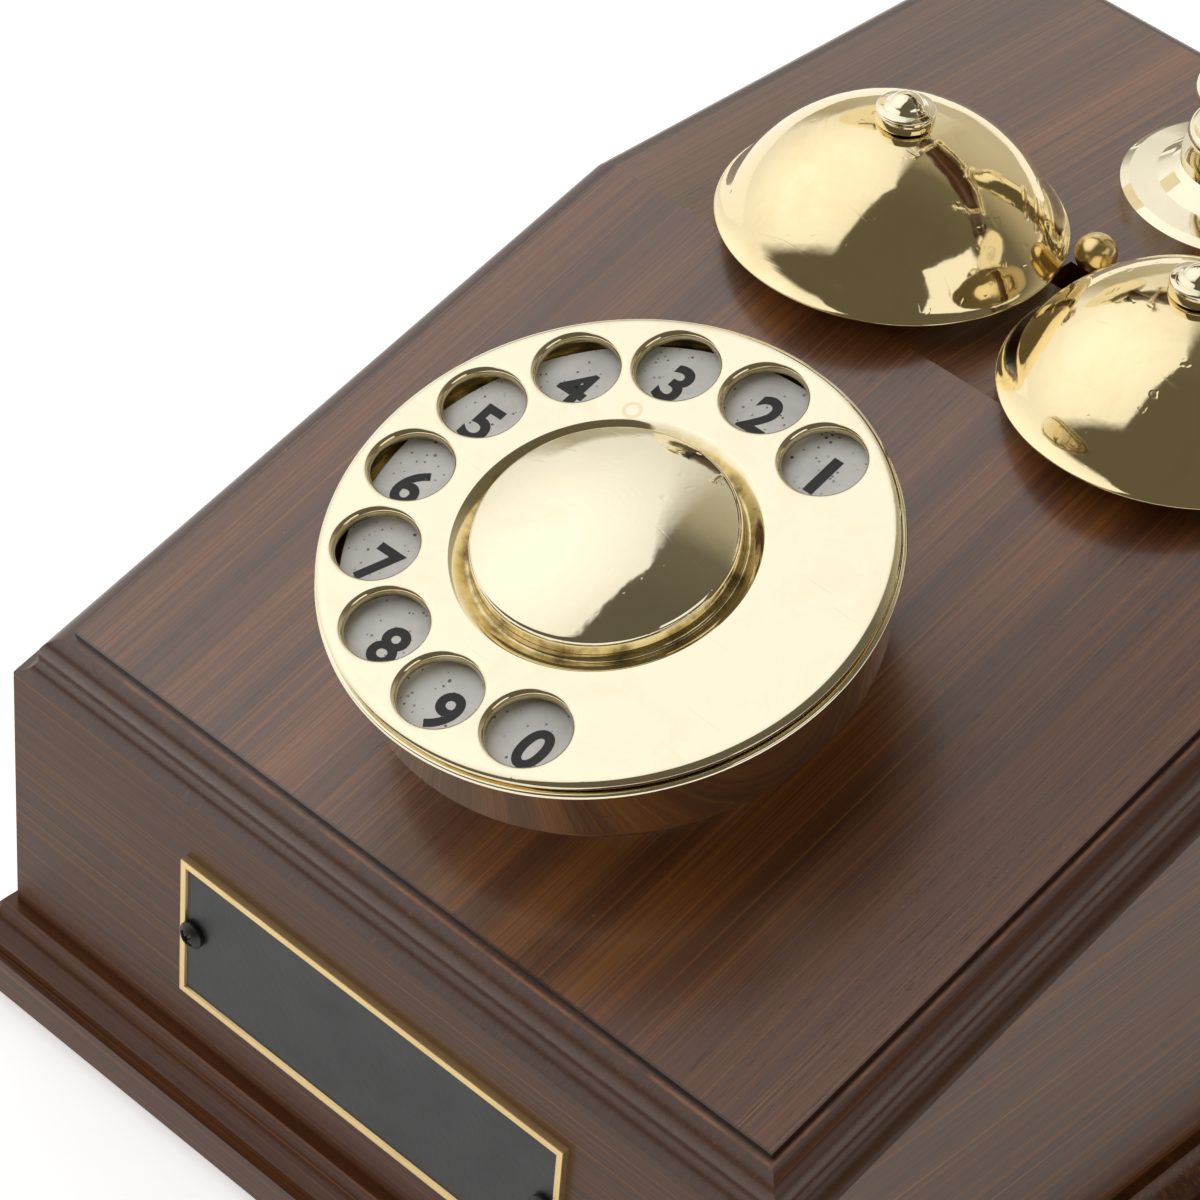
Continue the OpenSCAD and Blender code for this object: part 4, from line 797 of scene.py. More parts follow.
# %% The boss's own finish
def swirl_brass():
    """Polished brass with the faint turning marks of the boss, rings round the dial's axis."""
    m, k, s, v = new_material("turned_brass")
    wear = use_group(k, metal_wear, v, Hammer=0.30, Pits=0.14, Scratches=0.08)
    centred = k.mapping(v, (1, 1, 1), (0, 0, 0), tuple(-dial_frame.translation * MM))
    x, y = k.split(k.mapping(centred, (1, 1, 1), (-SLOPE, 0, 0)))[:2]
    x = k.math("ADD", x, k.math("MULTIPLY", k.noise(v, 60.0, 2.0), 0.0016))
    r = k.math("SQRT", k.math("ADD", k.math("MULTIPLY", x, x), k.math("MULTIPLY", y, y)))
    rings = k.math("SINE", k.math("MULTIPLY", r, 6200.0))
    marks = k.math("MULTIPLY", rings, k.math("MULTIPLY", k.below(r, 0.002, 0.009), 0.035))
    stained = k.mix(k.math("MULTIPLY", wear.outputs["Stain"], 0.18), BRASS, TARNISH)
    dirt_and_shade = wear.outputs["Dirt"]
    k.set(s, "Base_Color", soiled_and_shaded(k, stained, dirt_and_shade))
    k.set(s, "Metallic", k.math("MULTIPLY_ADD", dirt_and_shade, -0.2, 1.0))
    rough = k.math("MULTIPLY_ADD", dirt_and_shade, 0.10, 0.06)
    k.set(s, "Roughness", k.math("MULTIPLY_ADD", wear.outputs["Hairline"], 0.08, rough))
    k.set(s, "Normal", k.bump(k.math("ADD", wear.outputs["Height"], marks), 0.6, 0.00014))
    return m

turned_brass = swirl_brass()
print("boss finish", turned_brass.name)

# %% [markdown]
# ### The boss's shape, and dirt round it
#
# The boss is a shallow dome with a rounded shoulder on a low wall. The centre of its arcs follows
# from its height and radius, so a change of size keeps them tangent. Polish never reaches the low
# places: the ring at the boss, the edges of the holes and the turn under the rim.

# %% Make the boss, and dirty both
def boss_profile():
    """Half section of the boss: foot, shoulder and dome."""
    rise = BOSS_H - BOSS_WALL
    dome_r = (BOSS_R ** 2 + rise ** 2) / (2 * rise)
    half = math.degrees(math.asin((BOSS_R - SHOULDER) / (dome_r - SHOULDER)))
    shoulder_z = BOSS_H - dome_r + (dome_r - SHOULDER) * math.cos(math.radians(half))
    shoulder = arc(BOSS_R - SHOULDER, shoulder_z, SHOULDER, 0, 90 - half, 14)
    return [(0, -DISH), (BOSS_R, -DISH)] + shoulder + arc(0, BOSS_H - dome_r, dome_r, 90 - half, 90, 40)[1:]

def wheel_grime(p):
    """More dirt the deeper a point lies, and most of it in the ring at the boss."""
    r = math.hypot(p.x, p.y)
    if r < FLAT_IN + 0.6:
        return -p.z / 1.1
    return -p.z * (0.3 if r > FLAT_OUT - 0.02 else 0.75)

boss = put(turned("centre_boss_dressed", boss_profile(), turned_brass, dial_frame, 192), "dial",
    "polished_brass", "centre_boss")
add_grime_and_shade(finger_wheel, dial_frame, wheel_grime)
add_grime_and_shade(boss, dial_frame, lambda p: (0.7 - p.z) / 1.4)
print("boss", len(boss.data.vertices), "vertices, height", BOSS_H)

# %% [markdown]
# ## Dial: the number plate
#
# The plate shows only through the holes. It was cut by hand and sits a little to the right, so that
# a dark gap shows at its left edge. It is turned first, and its outer points are then pulled.

# %% A plate a little off round
PLATE_R, PLATE_MOST, PLATE_SHIFT, PLATE_TURN = 35.7, 35.9, 1.4, math.radians(12)
PLATE_IN, PLATE_LOW, PLATE_TOP = 22.5, -3.1, -2.6

def make_number_plate():
    rim = arc(PLATE_R - 0.2, PLATE_TOP - 0.2, 0.2, 0, 90, 4)
    profile = [(PLATE_IN, PLATE_LOW), (PLATE_R, PLATE_LOW)] + rim + [(PLATE_IN, PLATE_TOP)]
    obj = turned("number_plate_dressed", profile, number_enamel, dial_frame, 192, True, 50)
    back = dial_frame.inverted()
    for v in obj.data.vertices:
        p = back @ (v.co / MM)
        r, a = math.hypot(p.x, p.y), math.atan2(p.y, p.x)
        if r > (PLATE_IN + PLATE_R) / 2:
            f = (r - PLATE_R + min(PLATE_MOST, PLATE_R + PLATE_SHIFT * math.cos(a + PLATE_TURN))) / r
            v.co = (dial_frame @ Vector((p.x * f, p.y * f, p.z))) * MM
    return obj

number_plate = put(make_number_plate(), "case", "number_enamel", "number_plate")
print("plate", len(number_plate.data.vertices), "vertices")

# %% [markdown]
# ### The digits
#
# The digits are bold and upright, painted on the plate. A text object gives them; its offset makes the
# strokes bolder. It is turned into a mesh before it is placed. The 1 is a plain bar, as painted.

# %% Digits as flat meshes
DIGIT_H, STROKE, NARROWED = 6.5, 0.030, 0.97
BAR_X, BAR_Y = 0.78, 3.2
DIGIT_SHIFT, DIGIT_Z, DIGIT_TURN = (0.7, -1.0), PLATE_TOP + 0.02, math.radians(1)

def bar_mesh():
    """The 1: a plain upright bar."""
    bm = bmesh.new()
    corners = [(-BAR_X, -BAR_Y), (BAR_X, -BAR_Y), (BAR_X, BAR_Y), (-BAR_X, BAR_Y)]
    fill_into(bm, [corners], 0, Matrix.Scale(1 / MM, 4))
    mesh = bpy.data.meshes.new("digit")
    bm.to_mesh(mesh)
    bm.free()
    return mesh

def digit_mesh(text):
    """One bold digit as a flat mesh, centred on the origin, in mm."""
    curve = bpy.data.curves.new("digit", "FONT")
    curve.body = text
    curve.offset = STROKE
    curve.resolution_u = 8
    obj = bpy.data.objects.new("digit", curve)
    bpy.context.collection.objects.link(obj)
    mesh = bpy.data.meshes.new_from_object(obj.evaluated_get(bpy.context.evaluated_depsgraph_get()))
    bpy.data.objects.remove(obj)
    xs = [v.co.x for v in mesh.vertices]
    ys = [v.co.y for v in mesh.vertices]
    f = DIGIT_H / (max(ys) - min(ys))
    mid = Vector(((max(xs) + min(xs)) / 2, (max(ys) + min(ys)) / 2, 0))
    for v in mesh.vertices:
        v.co = Vector(((v.co.x - mid.x) * f * NARROWED, (v.co.y - mid.y) * f, 0))
    return mesh

def make_digits():
    bm = bmesh.new()
    upright = Matrix.Scale(MM, 4) @ dial_frame @ Matrix.Rotation(DIGIT_TURN, 4, "Z")
    for text, (cx, cy) in zip("1234567890", hole_spots):
        part = bar_mesh() if text == "1" else digit_mesh(text)
        part.transform(upright @ place(cx + DIGIT_SHIFT[0], cy + DIGIT_SHIFT[1], DIGIT_Z))
        bm.from_mesh(part)
        bpy.data.meshes.remove(part)
    bmesh.ops.remove_doubles(bm, verts=bm.verts, dist=1e-7)
    up = dial_frame.to_3x3() @ Vector((0, 0, 1))
    for f in bm.faces:
        f.normal_update()
        if f.normal.dot(up) < 0:
            f.normal_flip()
    return finish_mesh(bm, "digits", digit_paint, SHARP, 1e-8, False)

digits = put(make_digits(), "case", "black_screw")
print("digits", len(digits.data.polygons), "faces")

# %% [markdown]
# ### The cup
#
# Below the wheel a spun cup holds the works: a thin rolled lip, a wall that tapers, a round and a
# neck. Its half section is closed, outside down and inside up, so that it has a real thickness.
# The cup, the plate and the digits stand still while the wheel turns, so they ride on the case.

# %% The cup
def cup_profile():
    """Half section of the cup: lip, wall, round, underside and neck, then back up inside."""
    outer = [(36.0, -1.9)] + arc(37.4, -2.4, 0.5, 90, -90, 12) + [(36.95, -2.93)] + \
        arc(36.82, -3.05, 0.1, 90, 0, 2)[1:] + arc(32.3, -13.3, 3.0, 0, -60, 14) + \
        arc(24.6, -22.9, 2.6, 120, 180, 6) + arc(23.6, -26.2, 1.6, 180, 200, 2)
    inner = [(22.2, -26.69), (14.8, -26.69), (14.8, -24.7), (20.5, -24.7), (20.5, -21.85), (33.0, -14.6),
        (34.7, -6.6), (31.7, -6.6), (31.7, -4.6), (36.0, -4.6)]
    return outer + inner

def cup_gap_shade(p):
    """Painted shade: the value 1, nearly black, only in the hidden gap between the lip and the plate."""
    return 1 if -4.8 < p.z < -2.95 and math.hypot(p.x, p.y) < 36.1 else 0

cup = put(turned("dial_cup_dressed", cup_profile(), polished, dial_frame, 192, True, 30), "case",
    "polished_brass", "dial_cup")
# Painted shade: the cup's gap by the plate is stored at full strength and comes out nearly black.
add_grime_and_shade(cup, dial_frame, cup_gap_shade)
print("cup", len(cup.data.vertices), "vertices")

# %% [markdown]
# ## Bells
#
# The two bells are spun brass domes with a flared lip, each under a domed nut on its post. The dome
# is part of a sphere whose radius follows from its height and width. A Bezier curve makes the flare,
# and the inside runs back up a wall's thickness away.

# %% Section of a bell
BELL_R, BELL_H, BELL_T, STUD_R = 25.0, 16.8, 1.2, 2.05
FOOT_OF_DOME, FLARE_Z, FLARE_PULL, WALL_R = (23.5, 1.6), 3.4, 1.3, 21.6
DOME_H = BELL_H - FOOT_OF_DOME[1]
DOME_R = (FOOT_OF_DOME[0] ** 2 + DOME_H ** 2) / (2 * DOME_H)
DOME_C = BELL_H - DOME_R

def angle_at(across, radius):
    """Where on an arc a distance from the axis lies, in degrees."""
    return math.degrees(math.acos(across / radius))

def bell_profile():
    """Closed half section: the dome and its flare, the rim, and back up inside."""
    deep = FLARE_Z - DOME_C
    r0 = math.sqrt(DOME_R ** 2 - deep ** 2)
    outer = arc(0, DOME_C, DOME_R, angle_at(STUD_R, DOME_R), math.degrees(math.asin(deep / DOME_R)), 72)
    leave = (r0 + FLARE_PULL * deep / DOME_R, FLARE_Z - FLARE_PULL * r0 / DOME_R)
    flare = bezier((r0, FLARE_Z), leave, (BELL_R - 1.0, 0.95), (BELL_R - 0.15, 0.5), 14)[1:]
    rim = arc(BELL_R - 0.2, 0.27, 0.2, 60, -90, 6)
    inner = [(23.9, 0.1)] + bezier((23.6, 0.4), (22.9, 0.9), (22.4, 1.6), (22.0, 2.9), 8)
    r_in = DOME_R - BELL_T
    back = arc(0, DOME_C, r_in, angle_at(WALL_R, r_in), angle_at(STUD_R, r_in), 40)
    return outer + flare + rim + inner + back

print("dome radius", round(DOME_R, 2), "section of", len(bell_profile()), "points")

# %% [markdown]
# ### The nuts
#
# A nut has a washer's foot, a short neck and a round top. The same two sections serve both sides.

# %% Section of a nut, and both bells
def nut_profile():
    """Half section: washer, neck and round top."""
    washer = [(STUD_R, 0.0), (3.9, 0.0)] + arc(3.9, 0.3, 0.3, -90, 0, 3) + [(4.2, 1.9)]
    neck = arc(3.8, 1.9, 0.4, 0, 70, 4) + [(3.2, 2.45)] + arc(3.2, 2.75, 0.3, 270, 200, 3)
    return washer + neck + arc(0, 1.45, 2.9, 28, 90, 14)

for side, word in ((-1, "left"), (1, "right")):
    at = place(side * BELL_X, BELL_Y, RIM_Z)
    bell = turned("bell_%s_dressed" % word, bell_profile(), bell_brass, at, 256, True, 40)
    put(bell, "case", "polished_brass", "bell_" + word)
    top = at @ place(0, 0, BELL_H)
    nut = turned("bell_nut_%s_dressed" % word, nut_profile(), polished, top, 96, False, 40)
    put(nut, "case", "polished_brass", "bell_nut_" + word)
print("each bell", len(bell.data.vertices), "vertices, each nut", len(nut.data.vertices))

# %% [markdown]
# ## Nameplate
#
# On the front board is a cast plate with a raised brass rim round a dark field, left bare here. The
# field needs a box with soft edges, built in mesh code and bevelled so that its edges catch light.

# %% A bevelled box
def box_into(bm, lo, hi, at, bevel):
    """Adds a box between two corners to bm, with rounded edges."""
    part = bmesh.new()
    bmesh.ops.create_cube(part, size=1.0)
    mid = [(a + b) / 2 for a, b in zip(lo, hi)]
    size = [b - a for a, b in zip(lo, hi)]
    for v in part.verts:
        v.co = Vector([mid[i] + v.co[i] * size[i] for i in range(3)])
    bmesh.ops.bevel(part, geom=part.edges[:], offset=bevel, segments=3, affect="EDGES", profile=0.5)
    for v in part.verts:
        v.co = (at @ v.co) * MM
    mesh = bpy.data.meshes.new("part")
    part.to_mesh(mesh)
    part.free()
    bm.from_mesh(mesh)
    bpy.data.meshes.remove(mesh)

print("ready for boxes")

# %% [markdown]
# ### The rim
#
# The rim is one strip with a rounded top. It is drawn as a stack of rectangles, each a little further
# in and at its own height, which gives mitred corners without any Boolean.

# %% Rim and field
PLATE_L, PLATE_H, PLATE_DOWN, RIM_W, RIM_H = 71.6, 24.3, 9.2, 1.1, 1.2
FIELD_IN, FIELD_Z0, FIELD_Z1, FIELD_EDGE = RIM_W + 0.02, 0.7, 0.8, 0.02
PLATE_Z = FRONT_TOP - PLATE_DOWN - PLATE_H / 2
plate_frame = place(0, -CASE_BACK, PLATE_Z) @ Matrix.Rotation(math.pi / 2, 4, "X")
satin_rim = brass("nameplate_brass", (0.80, 0.60, 0.30), 0.36, (0.40, 0.26, 0.10), 0.8)

def rectangle(inset):
    """The plate's corners, moved in by an inset."""
    x, y = PLATE_L / 2 - inset, PLATE_H / 2 - inset
    return [(-x, -y), (x, -y), (x, y), (-x, y)]

def make_plate_rim():
    """A stack of rectangles: up the outside, over the rounded top and down inside."""
    bm = bmesh.new()
    steps = [(0, 0), (0, RIM_H - 0.2), (0.06, RIM_H - 0.06), (0.2, RIM_H),
        (RIM_W - 0.2, RIM_H), (RIM_W - 0.06, RIM_H - 0.06), (RIM_W + 0.08, 0.74)]
    loops = []
    for d, z in steps:
        loops.append([bm.verts.new((plate_frame @ Vector((x, y, z))) * MM) for x, y in rectangle(d)])
    for a, b in zip(loops, loops[1:]):
        for k in range(4):
            bm.faces.new((a[k], a[(k + 1) % 4], b[(k + 1) % 4], b[k]))
    bm.faces.new(loops[0][::-1])
    bm.faces.new(loops[-1])
    return finish_mesh(bm, "nameplate_rim", satin_rim, 25)

def make_plate_field():
    bm = bmesh.new()
    low, _, high, _ = rectangle(FIELD_IN)
    box_into(bm, (*low, FIELD_Z0), (*high, FIELD_Z1), plate_frame, FIELD_EDGE)
    return finish_mesh(bm, "nameplate_field", plate_paint, 25)

plate_rim = put(make_plate_rim(), "case", "polished_brass", "nameplate")
plate_field = put(make_plate_field(), "case", "black_screw", "nameplate")
print("nameplate", len(plate_rim.data.vertices), "field", len(plate_field.data.vertices))

# %% [markdown]
# ## Screws and feet: one small tree for everything that repeats
#
# The case stands on four rubber feet, six countersunk screws hold its base, and two black screws
# hold the nameplate. Each set is one piece copied on a grid. It could be copied by hand in a loop,
# but a Geometry Nodes tree is the tool for it: the piece, the counts and the spacings are its
# inputs, and one seed turns every copy a little differently, as screws driven by hand stand.
#
# First the tree. Mesh Grid gives the spots, Instance on Points puts the piece there, Random Value
# turns it, and Realize Instances and Set Material make plain geometry of it.

# %% The tree that puts pieces on a grid
GRID_INPUTS = (("Piece", "Object"), ("Columns", "Int"), ("Rows", "Int"), ("Width", "Float"),
    ("Depth", "Float"), ("Most Turn", "Float"), ("Finish", "Material"))
GRID_NODES = {"given": "NodeGroupInput", "spots": "GeometryNodeMeshGrid", "piece": "GeometryNodeObjectInfo",
    "turn": "FunctionNodeRandomValue", "about_z": "ShaderNodeCombineXYZ",
    "copies": "GeometryNodeInstanceOnPoints", "real": "GeometryNodeRealizeInstances",
    "paint": "GeometryNodeSetMaterial", "out": "NodeGroupOutput"}
GIVEN_TO = (("Width", "spots", "Size X"), ("Depth", "spots", "Size Y"), ("Columns", "spots", "Vertices X"),
    ("Rows", "spots", "Vertices Y"), ("Piece", "piece", "Object"), ("Finish", "paint", "Material"))
TURN_SEED = 7

def make_grid_tree():
    """A tree that copies a piece to the points of a grid and gives it its finish."""
    tree = bpy.data.node_groups.new("pieces_on_a_grid", "GeometryNodeTree")
    tree.interface.new_socket("Geometry", in_out="OUTPUT", socket_type="NodeSocketGeometry")
    for name, kind in GRID_INPUTS:
        tree.interface.new_socket(name, in_out="INPUT", socket_type="NodeSocket" + kind)
    n = {key: tree.nodes.new(kind) for key, kind in GRID_NODES.items()}
    n["turn"].data_type = "FLOAT"
    turn_in = {sock.name: sock for sock in n["turn"].inputs if sock.enabled}
    turn_in["Min"].default_value = 0.0
    turn_in["Seed"].default_value = TURN_SEED
    turned_by = [sock for sock in n["turn"].outputs if sock.enabled][0]
    link = tree.links.new
    given = n["given"].outputs
    for name, node, sock in GIVEN_TO:
        link(given[name], n[node].inputs[sock])
    link(given["Most Turn"], turn_in["Max"])
    link(turned_by, n["about_z"].inputs["Z"])
    link(n["about_z"].outputs[0], n["copies"].inputs["Rotation"])
    link(n["spots"].outputs["Mesh"], n["copies"].inputs["Points"])
    link(n["piece"].outputs["Geometry"], n["copies"].inputs["Instance"])
    link(n["copies"].outputs[0], n["real"].inputs[0])
    link(n["real"].outputs[0], n["paint"].inputs["Geometry"])
    link(n["paint"].outputs[0], n["out"].inputs[0])
    return tree

grid_tree = make_grid_tree()
print("tree inputs", [i.name for i in grid_tree.interface.items_tree if i.in_out == "INPUT"])

# %% [markdown]
# A modifier shows the tree's result, but the finished piece has to be a plain mesh in its place. So
# the inputs are set by their identifiers, the evaluated result is copied, the modifier and the
# model piece are removed, and only then is the mesh moved to where it belongs.

# %% Run the tree once and keep a plain mesh
def repeated(name, model, columns, rows, width, depth, most_turn, finish, at):
    """Copies of a model piece on a grid as one plain mesh; the model itself is removed."""
    obj = bpy.data.objects.new(name, bpy.data.meshes.new(name + "_start"))
    bpy.context.collection.objects.link(obj)
    mod = obj.modifiers.new("grid", "NODES")
    mod.node_group = grid_tree
    given = {"Piece": model, "Columns": columns, "Rows": rows, "Width": width * MM, "Depth": depth * MM,
        "Most Turn": most_turn, "Finish": finish}
    for item in grid_tree.interface.items_tree:
        if item.in_out == "INPUT":
            mod[item.identifier] = given[item.name]
    mesh = bpy.data.meshes.new_from_object(obj.evaluated_get(bpy.context.evaluated_depsgraph_get()))
    obj.modifiers.clear()
    bpy.data.objects.remove(model)
    mesh.transform(Matrix.Scale(MM, 4) @ at @ Matrix.Scale(1 / MM, 4))
    return finish_object(mesh, name, 40, obj)

print("ready to repeat")

# %% [markdown]
# ### The three sets
#
# A round head is a low dome with a cross sunk in it. A countersunk head is flat with the same
# cross, and its cone and shank go up into the wood. One helper draws both from a height that is a
# function of x and y. The foot is turned: a soft outer edge and a shallow dish below.

# %% Heads with a cross recess
def cap_into(bm, at, radius, height, under, rings=28, seg=96):
    """A disc whose height is a function of x and y, carried on down the (radius, z) steps under it."""
    rows = [[bm.verts.new(at @ Vector((0, 0, height(0, 0))) * MM)]]
    for r in (radius * k / rings for k in range(1, rings + 1)):
        spots = ring(r, seg)
        rows.append([bm.verts.new(at @ Vector((x, y, height(x, y))) * MM) for x, y in spots])
    for r, z in under:
        rows.append([bm.verts.new(at @ Vector((x * r / radius, y * r / radius, z)) * MM) for x, y in spots])
    for a, b in zip(rows, rows[1:]):
        for k in range(seg):
            n = (k + 1) % seg
            bm.faces.new((a[0], b[k], b[n]) if len(a) == 1 else (a[k], b[k], b[n], a[n]))
    bm.faces.new(rows[-1][::-1])

SIDE_SLOPE, END_SLOPE = 0.12, 0.30

def cross(x, y, half_width, reach):
    """1 in the middle of a cross recess, 0 outside it."""
    slot = min(1.0, max(0.0, (half_width - min(abs(x), abs(y))) / SIDE_SLOPE))
    return slot * min(1.0, max(0.0, (reach - math.hypot(x, y)) / END_SLOPE))

def round_head(x, y):
    """Height of a low dome with a cross in it."""
    return 0.30 + 1.15 * max(0.0, 1 - (x * x + y * y) / 4.4) - 0.75 * cross(x, y, 0.34, 1.30)

def flat_head(x, y):
    """Height of a flat head with a cross in it."""
    return -1.3 * cross(x, y, 0.45, 2.2)

def head_model(name, radius, height, under, finish):
    """One screw at the origin, whose top is a height function."""
    bm = bmesh.new()
    cap_into(bm, Matrix(), radius, height, under)
    return finish_mesh(bm, name, finish, 40)

print("head heights", round(round_head(0, 0.8), 2), flat_head(0, 0))

# %% [markdown]
# The places come from the frame: a set's box, less a head's radius, is the spacing of its grid.

# %% Nameplate screws, base screws and feet
HEAD_R, FLAT_R, FOOT_R, FOOT_H = 2.05, 3.6, 7.0, 3.0
SCREW_IN, SHANK_R, CONE_Z, TIP_Z, BASE_Z = 2.6, 1.5, -2.3, -19.8, 3.2
DISH_R, DISH_H, DISH_LIP = 3.0, 0.8, 3.6

def spacing(node, radius):
    """How far apart a node's outer pieces stand along X and Y, in mm."""
    lo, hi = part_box(node)
    return [(hi[i] - lo[i]) / MM - 2 * radius for i in (0, 1)]

head = head_model("round_head_model", HEAD_R, round_head, [(HEAD_R, 0)], black_screw)
plate_screws = put(repeated("nameplate_screw_heads", head, 2, 1, PLATE_L - 2 * SCREW_IN, 0, 1.2, black_screw,
    plate_frame @ place(0, 0, RIM_H)), "case", "black_screw", "nameplate_screws")
head = head_model("flat_head_model", FLAT_R, flat_head, [(SHANK_R, CONE_Z), (SHANK_R, TIP_Z)], steel)
base_screws = put(repeated("base_screws_dressed", head, 2, 3, *spacing("base_screws", FLAT_R), 1.5, steel,
    place(0, 0, BASE_Z) @ Matrix.Rotation(math.pi, 4, "X")), "case", "plated_steel", "base_screws")
foot_profile = [(0, FOOT_H), (FOOT_R, FOOT_H)] + arc(FOOT_R - 1, 1, 1, 0, -90, 8) + [(DISH_LIP, 0)] + \
    arc(DISH_LIP, 0.4, 0.4, -90, -180, 4) + [(DISH_R, DISH_H), (0, DISH_H)]
foot = turned("foot_model", foot_profile, foot_rubber, Matrix(), 96)
feet = put(repeated("feet_dressed", foot, 2, 2, *spacing("feet", FOOT_R), 0.0, foot_rubber, Matrix()), "case",
    "foot_rubber", "feet")
for obj in (plate_screws, base_screws, feet):
    print(obj.name, "vertices", len(obj.data.vertices), "material", obj.data.materials[0].name)

# %% [markdown]
# ## Every other piece gets its finish
#
# The rest of the frame, from the case's boards to the works inside, already has its right shape. Its
# material slots are reassigned, and its meshes are left alone.

# %% Finishes for the CAD pieces
NODE_LOOKS = {
    striped_slope: ["slope_board"],
    striped_wood: ["top_board"],
    board_wood_x: ["front_board", "back_board", "base_board"],
    board_wood_y: ["side_left", "side_right"],
    handle_wood: ["handset_handle"],
    polished: ["cradle_foot", "cradle_column", "cradle_fork", "ear_elbow", "mouth_elbow", "ear_cup",
        "mouth_cup", "ear_cap", "mouth_cap"],
    satin_brass: ["governor_cup", "main_gear", "governor_rotor", "clapper"],
    bronze: ["pulse_contacts", "hook_contacts"],
    steel: ["dial_frame", "dial_bridge", "return_spring", "dial_screws", "dial_spindle", "cam_shaft",
        "bell_post_left", "bell_post_right", "ringer_frame", "ringer_pin", "hook_bracket", "hook_plunger",
        "hook_spring", "ear_capsule", "mouth_capsule"],
    coil_winding: ["ringer_coil_left", "ringer_coil_right", "induction_coil"],
    black_plastic: ["ferrule_ear", "ferrule_mouth", "line_jack", "case_gland", "handset_gland"],
    circuit_green: ["circuit_board"],
}
for look, names in NODE_LOOKS.items():
    for name in names:
        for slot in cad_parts[name].material_slots:
            slot.material = look
print("CAD nodes with their own look:", sum(len(names) for names in NODE_LOOKS.values()))

# %% [markdown]
# ## Floor
#
# The telephone stands on plain pale paper. To look white it must not be lit harder, which would burn
# out the object too. Instead it glows a little, but only for the camera and for mirror-like rays:
# Light Path tells them apart, so the glow adds no light to the object.

# %% A pale paper floor
FLOOR_HALF, FLOOR_GLOW = 6.0, 0.62

def make_floor():
    """A square of paper, in metres, that glows for the camera and in reflections."""
    bm = bmesh.new()
    bmesh.ops.create_grid(bm, x_segments=2, y_segments=2, size=FLOOR_HALF)
    m, k, s, v = new_material("floor_paper")
    paper = k.mix(k.noise(v, 3.0, 2.0), (0.91, 0.91, 0.91), (0.93, 0.93, 0.93))
    k.set(s, "Base_Color", paper)
    k.set(s, "Emission_Color", paper)
    path = m.node_tree.nodes.new("ShaderNodeLightPath")
    seen = k.math("ADD", path.outputs["Is Camera Ray"], path.outputs["Is Glossy Ray"], clamp=True)
    seen = k.math("ADD", seen, path.outputs["Is Transmission Ray"], clamp=True)
    k.set(s, "Emission_Strength", k.math("MULTIPLY", seen, FLOOR_GLOW))
    s.inputs["Roughness"].default_value = 0.9
    s.inputs["Specular IOR Level"].default_value = 0.1
    return finish_mesh(bm, "floor", m)

floor = make_floor()
print("floor", 2 * FLOOR_HALF, "m wide")

# %% [markdown]
# ## World
#
# Polished brass shows whatever is round it, so the room has to be designed. A big soft tent on the
# left makes the bright reflections. The rest is dim and warm, a little lighter at the back. Both are
# functions of direction: a dot product with a fixed vector gives each edge of the tent.

# %% A tent of light in a dim room
TENT_FROM, TENT_TO, LOW_BACK_TO = -95, 117, 152
ROOM_BACK, TENT_TOP, TENT_HEART = (-0.30, 0.92, 0.25), (-0.4027, 0.5766, 0.7111), (-0.664, -0.242, 0.707)
ROOM_TONES = [(0.0, (0.130, 0.114, 0.080)), (0.50, (0.165, 0.146, 0.105)), (0.72, (0.43, 0.385, 0.285)),
    (1.0, (0.62, 0.58, 0.49))]
GLOW_TONES = [(0.0, (0.72, 0.715, 0.70)), (0.5, (0.84, 0.836, 0.825)), (1.0, (1.0, 1.0, 1.0))]
SHEET_TONE = (1.28, 1.272, 1.26)

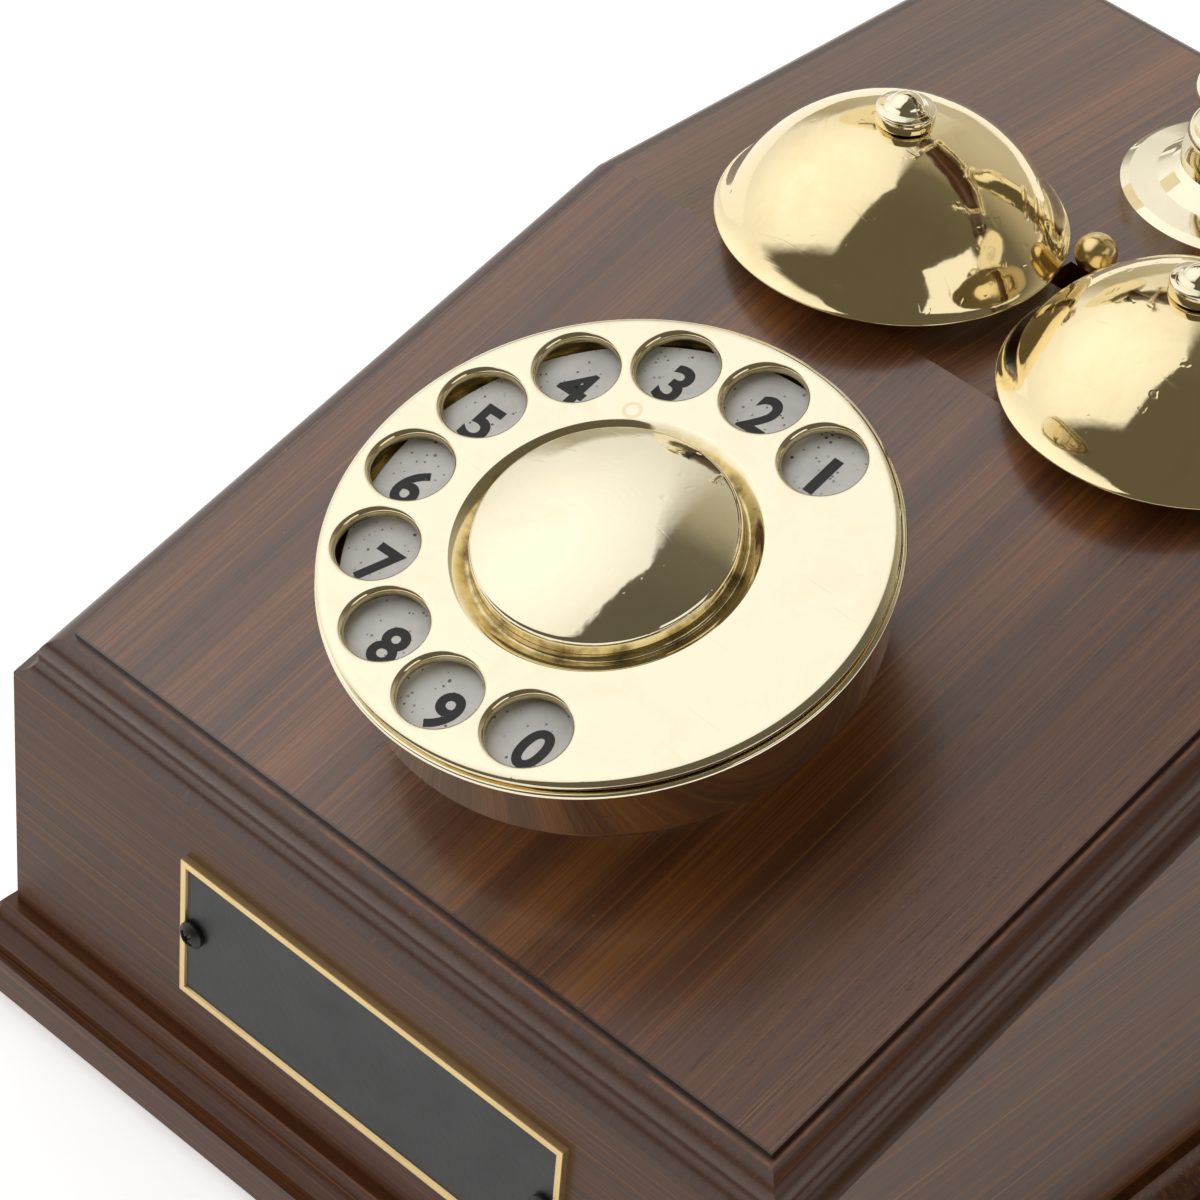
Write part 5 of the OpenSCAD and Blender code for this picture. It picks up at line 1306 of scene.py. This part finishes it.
def make_world():
    """The room as a function of direction alone."""
    world = bpy.data.worlds.new("studio")
    bpy.context.scene.world = world
    world.use_nodes = True
    k = Kit(world.node_tree)
    ground = world.node_tree.nodes["Background"]
    co = world.node_tree.nodes.new("ShaderNodeTexCoord").outputs["Generated"]

    def toward(x, y, z):
        """Dot product of the direction with a fixed vector."""
        n = world.node_tree.nodes.new("ShaderNodeVectorMath")
        n.operation = "DOT_PRODUCT"
        k.set(n, 0, co)
        n.inputs[1].default_value = (x, y, z)
        return n.outputs["Value"]

    room = k.ramp(toward(*ROOM_BACK), ROOM_TONES)
    squares = k.math("ADD", k.math("POWER", toward(1, 0, 0), 2.0), k.math("POWER", toward(0, 1, 0), 2.0))
    flat = k.math("SQRT", squares)

    def past(azimuth, soft):
        """Rises from 0 to 1 over a vertical edge at an azimuth, soft degrees to each side of it."""
        a, half = math.radians(azimuth), math.sin(math.radians(soft))
        return k.band(k.math("DIVIDE", toward(math.cos(a), math.sin(a), 0), flat), -half, half)

    tent = k.math("MULTIPLY", past(TENT_FROM - 90, 1.5), past(TENT_TO + 90, 10))
    not_back = k.math("SUBTRACT", 1.0, past(LOW_BACK_TO + 90, 5))
    low_back = k.math("MULTIPLY", k.below(toward(0, 0, 1), 0.24, 0.30), not_back)
    tent = k.math("MULTIPLY", tent, k.math("SUBTRACT", 1.0, low_back))
    tent = k.math("MULTIPLY", tent, k.band(toward(*TENT_TOP), -0.05, 0.06))
    glow = k.ramp(k.band(toward(*TENT_HEART), 0.55, 0.98), GLOW_TONES)
    sheet = k.mix(1.0, glow, SHEET_TONE, "MULTIPLY")
    k.set(ground, "Color", k.mix(tent, room, sheet))
    ground.inputs["Strength"].default_value = 1.0
    return world

print("world", make_world().name)

# %% [markdown]
# ## A small window on the right
#
# A single weak rectangle on the right lifts the shaded side of the dial and the column.

# %% One area light
AZIMUTH, HEIGHT, FAR = math.radians(-3), math.radians(27), 1.3
AIM, WIDE, TALL, RADIANCE = Vector((0, 0, 0.1)), 0.85, 0.5, 0.95

def small_light():
    """A rectangle that faces AIM from a distance of FAR, in metres."""
    light = bpy.data.lights.new("right_window", "AREA")
    light.shape = "RECTANGLE"
    light.size, light.size_y = WIDE, TALL
    light.energy = RADIANCE * math.pi * WIDE * TALL
    obj = bpy.data.objects.new("right_window", light)
    bpy.context.collection.objects.link(obj)
    flat = math.cos(HEIGHT)
    away = Vector((flat * math.cos(AZIMUTH), flat * math.sin(AZIMUTH), math.sin(HEIGHT)))
    across = Vector((0, 0, 1)).cross(away)
    y = away.cross(across).normalized()
    z = across.cross(y).normalized()
    turn = Matrix((y.cross(z), y, z)).transposed().to_4x4()
    obj.matrix_world = Matrix.Translation(AIM + away * FAR) @ turn
    return obj

small_light()
bpy.context.scene.view_settings.view_transform = "Standard"

# %% [markdown]
